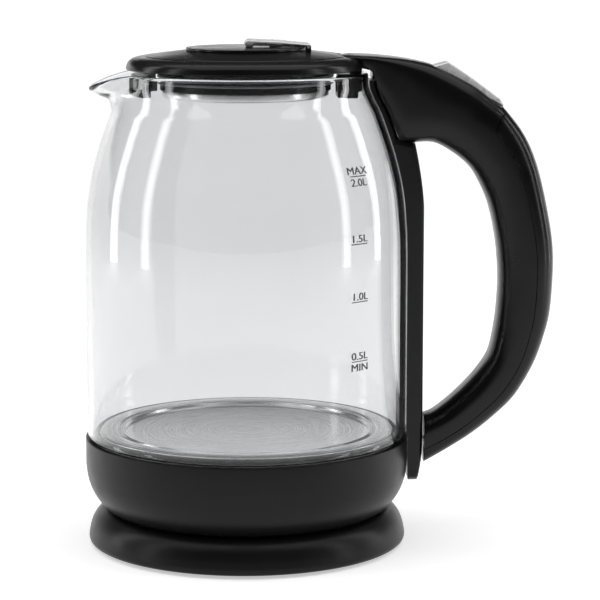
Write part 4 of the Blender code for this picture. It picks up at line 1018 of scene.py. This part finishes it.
def build_filter_mesh():
    """Woven wires in the frame's windows."""
    radius = FILTER_RADIUS - 0.0021
    low, high = FILTER_LOW_Z + FILTER_MESH_INSET, FILTER_HIGH_Z - FILTER_MESH_INSET
    wires = bmesh.new()
    count_across, count_up, spans = 64, 9, 24

    def on_arc(share, height):
        angle = math.pi + FILTER_MESH_HALF_ANGLE * (2 * share - 1)
        return Vector((radius * math.cos(angle), radius * math.sin(angle), height))

    for i in range(count_across):
        share = i / (count_across - 1)
        add_bar(wires, on_arc(share, low), on_arc(share, high), FILTER_WIRE_RADIUS)
    for j in range(count_up):
        height = low + (high - low) * j / (count_up - 1)
        for i in range(spans):
            add_bar(wires, on_arc(i / spans, height), on_arc((i + 1) / spans, height), FILTER_WIRE_RADIUS)
    dress(new_object("mesh_skin", finish_mesh("mesh_skin", wires)), "filter_mesh")


def add_bar(work, start, end, radius):
    """A thin four-sided wire between two places."""
    along = (end - start).normalized()
    side = along.orthogonal().normalized()
    other = along.cross(side)
    rings = []
    for centre in (start, end):
        rings.append([work.verts.new(centre + (side * a + other * b) * radius)
                      for a, b in ((1, 0), (0, 1), (-1, 0), (0, -1))])
    for i in range(4):
        work.faces.new((rings[0][i], rings[0][(i + 1) % 4], rings[1][(i + 1) % 4], rings[1][i]))
    work.faces.new(rings[0][::-1])
    work.faces.new(rings[1])


# -------------------------------------------------------------------- marks

MARK_MIDDLE = math.radians(-47.3)
TOP_MARK_MIDDLE = math.radians(-45.0)
MARK_SIZE = 0.0049
MARK_WIDTH = 1.28
MARK_STROKE = 0.00016
MARK_LIFT = 0.00006
TOP_MARK_Z = 0.17
TEXT_ABOVE_LINE = 0.0011
TEXT_BELOW_LINE = -0.0043
LINE_WIDTH = 0.0105
LINE_THICKNESS = 0.00045
LINE_DEPTH = 0.00004
LINE_STEPS = 16


def wrap_on_glass(mesh, middle, height):
    """Bend a flat mesh, right along x and up along y, round the jar."""
    for vert in mesh.vertices:
        radius = glass_radius_at(height + vert.co.y) + MARK_LIFT + max(0.0, vert.co.z)
        angle = middle + vert.co.x / radius
        vert.co = (radius * math.cos(angle), radius * math.sin(angle), height + vert.co.y)


def mark_middle(height):
    return TOP_MARK_MIDDLE if height > TOP_MARK_Z else MARK_MIDDLE


def build_mark(name, words, height):
    """Printed generic lettering for a fill level."""
    data = bpy.data.curves.new(name, "FONT")
    data.body = words
    data.size = MARK_SIZE
    data.align_x = "CENTER"
    data.extrude = 0.00003
    letter = bpy.data.objects.new(name, data)
    bpy.context.scene.collection.objects.link(letter)
    graph = bpy.context.evaluated_depsgraph_get()
    thin = bpy.data.meshes.new_from_object(letter.evaluated_get(graph))
    bpy.data.objects.remove(letter, do_unlink=True)
    work = bmesh.new()
    for shift in (-MARK_STROKE, 0.0, MARK_STROKE):
        before = len(work.verts)
        work.from_mesh(thin)
        work.verts.ensure_lookup_table()
        for vert in work.verts[before:]:
            vert.co.x = vert.co.x * MARK_WIDTH + shift
            vert.co.z += abs(shift) * 0.02
    mesh = bpy.data.meshes.new(name)
    work.to_mesh(mesh)
    work.free()
    wrap_on_glass(mesh, mark_middle(height), height)
    piece = new_object(name, mesh)
    dress(piece, slot="black_plastic", body="pot", finish="ink")


def build_line(name, height):
    """A printed level line."""
    work = bmesh.new()
    corners = ((0, 0), (LINE_THICKNESS, 0), (LINE_THICKNESS, LINE_DEPTH), (0, LINE_DEPTH))
    columns = []
    for i in range(LINE_STEPS + 1):
        x = LINE_WIDTH * (i / LINE_STEPS - 0.5)
        columns.append([work.verts.new((x, y, z)) for y, z in corners])
    for a, b in zip(columns, columns[1:]):
        for k in range(4):
            work.faces.new((a[k], a[(k + 1) % 4], b[(k + 1) % 4], b[k]))
    work.faces.new(columns[0][::-1])
    work.faces.new(columns[-1])
    mesh = finish_mesh(name, work)
    wrap_on_glass(mesh, mark_middle(height), height)
    dress(new_object(name, mesh), slot="black_plastic", body="pot", finish="ink")


def build_marks():
    levels = [("2.0L", 0.1850), ("1.5L", 0.1540), ("1.0L", 0.1270), ("0.5L", 0.0990)]
    for i, (words, height) in enumerate(levels):
        build_line(f"level_line_{i + 1}", height)
        lift = TEXT_BELOW_LINE if words == "2.0L" else TEXT_ABOVE_LINE
        build_mark(f"level_text_{i + 1}", words, height + lift)
    build_mark("level_text_max", "MAX", levels[0][1] + TEXT_ABOVE_LINE)
    build_mark("level_text_min", "MIN", levels[3][1] + TEXT_BELOW_LINE)


def dress_frame_nodes():
    """Give each node that still shows its slot's procedural material."""
    for name, node in frame["nodes"].items():
        finish = MATERIALS[NODE_SLOT[name]]
        node.data.materials.clear()
        node.data.materials.append(finish)


build_camera()
build_floor()
build_lights()
build_world()
MATERIALS = make_materials()
dress_frame_nodes()
build_base()
build_housing()
build_glass()
build_heater()
build_handle()
build_strip()
build_switch()
build_steam_inlet()
build_lid()
build_tab()
build_knurl()
build_filter()
build_filter_mesh()
build_marks()
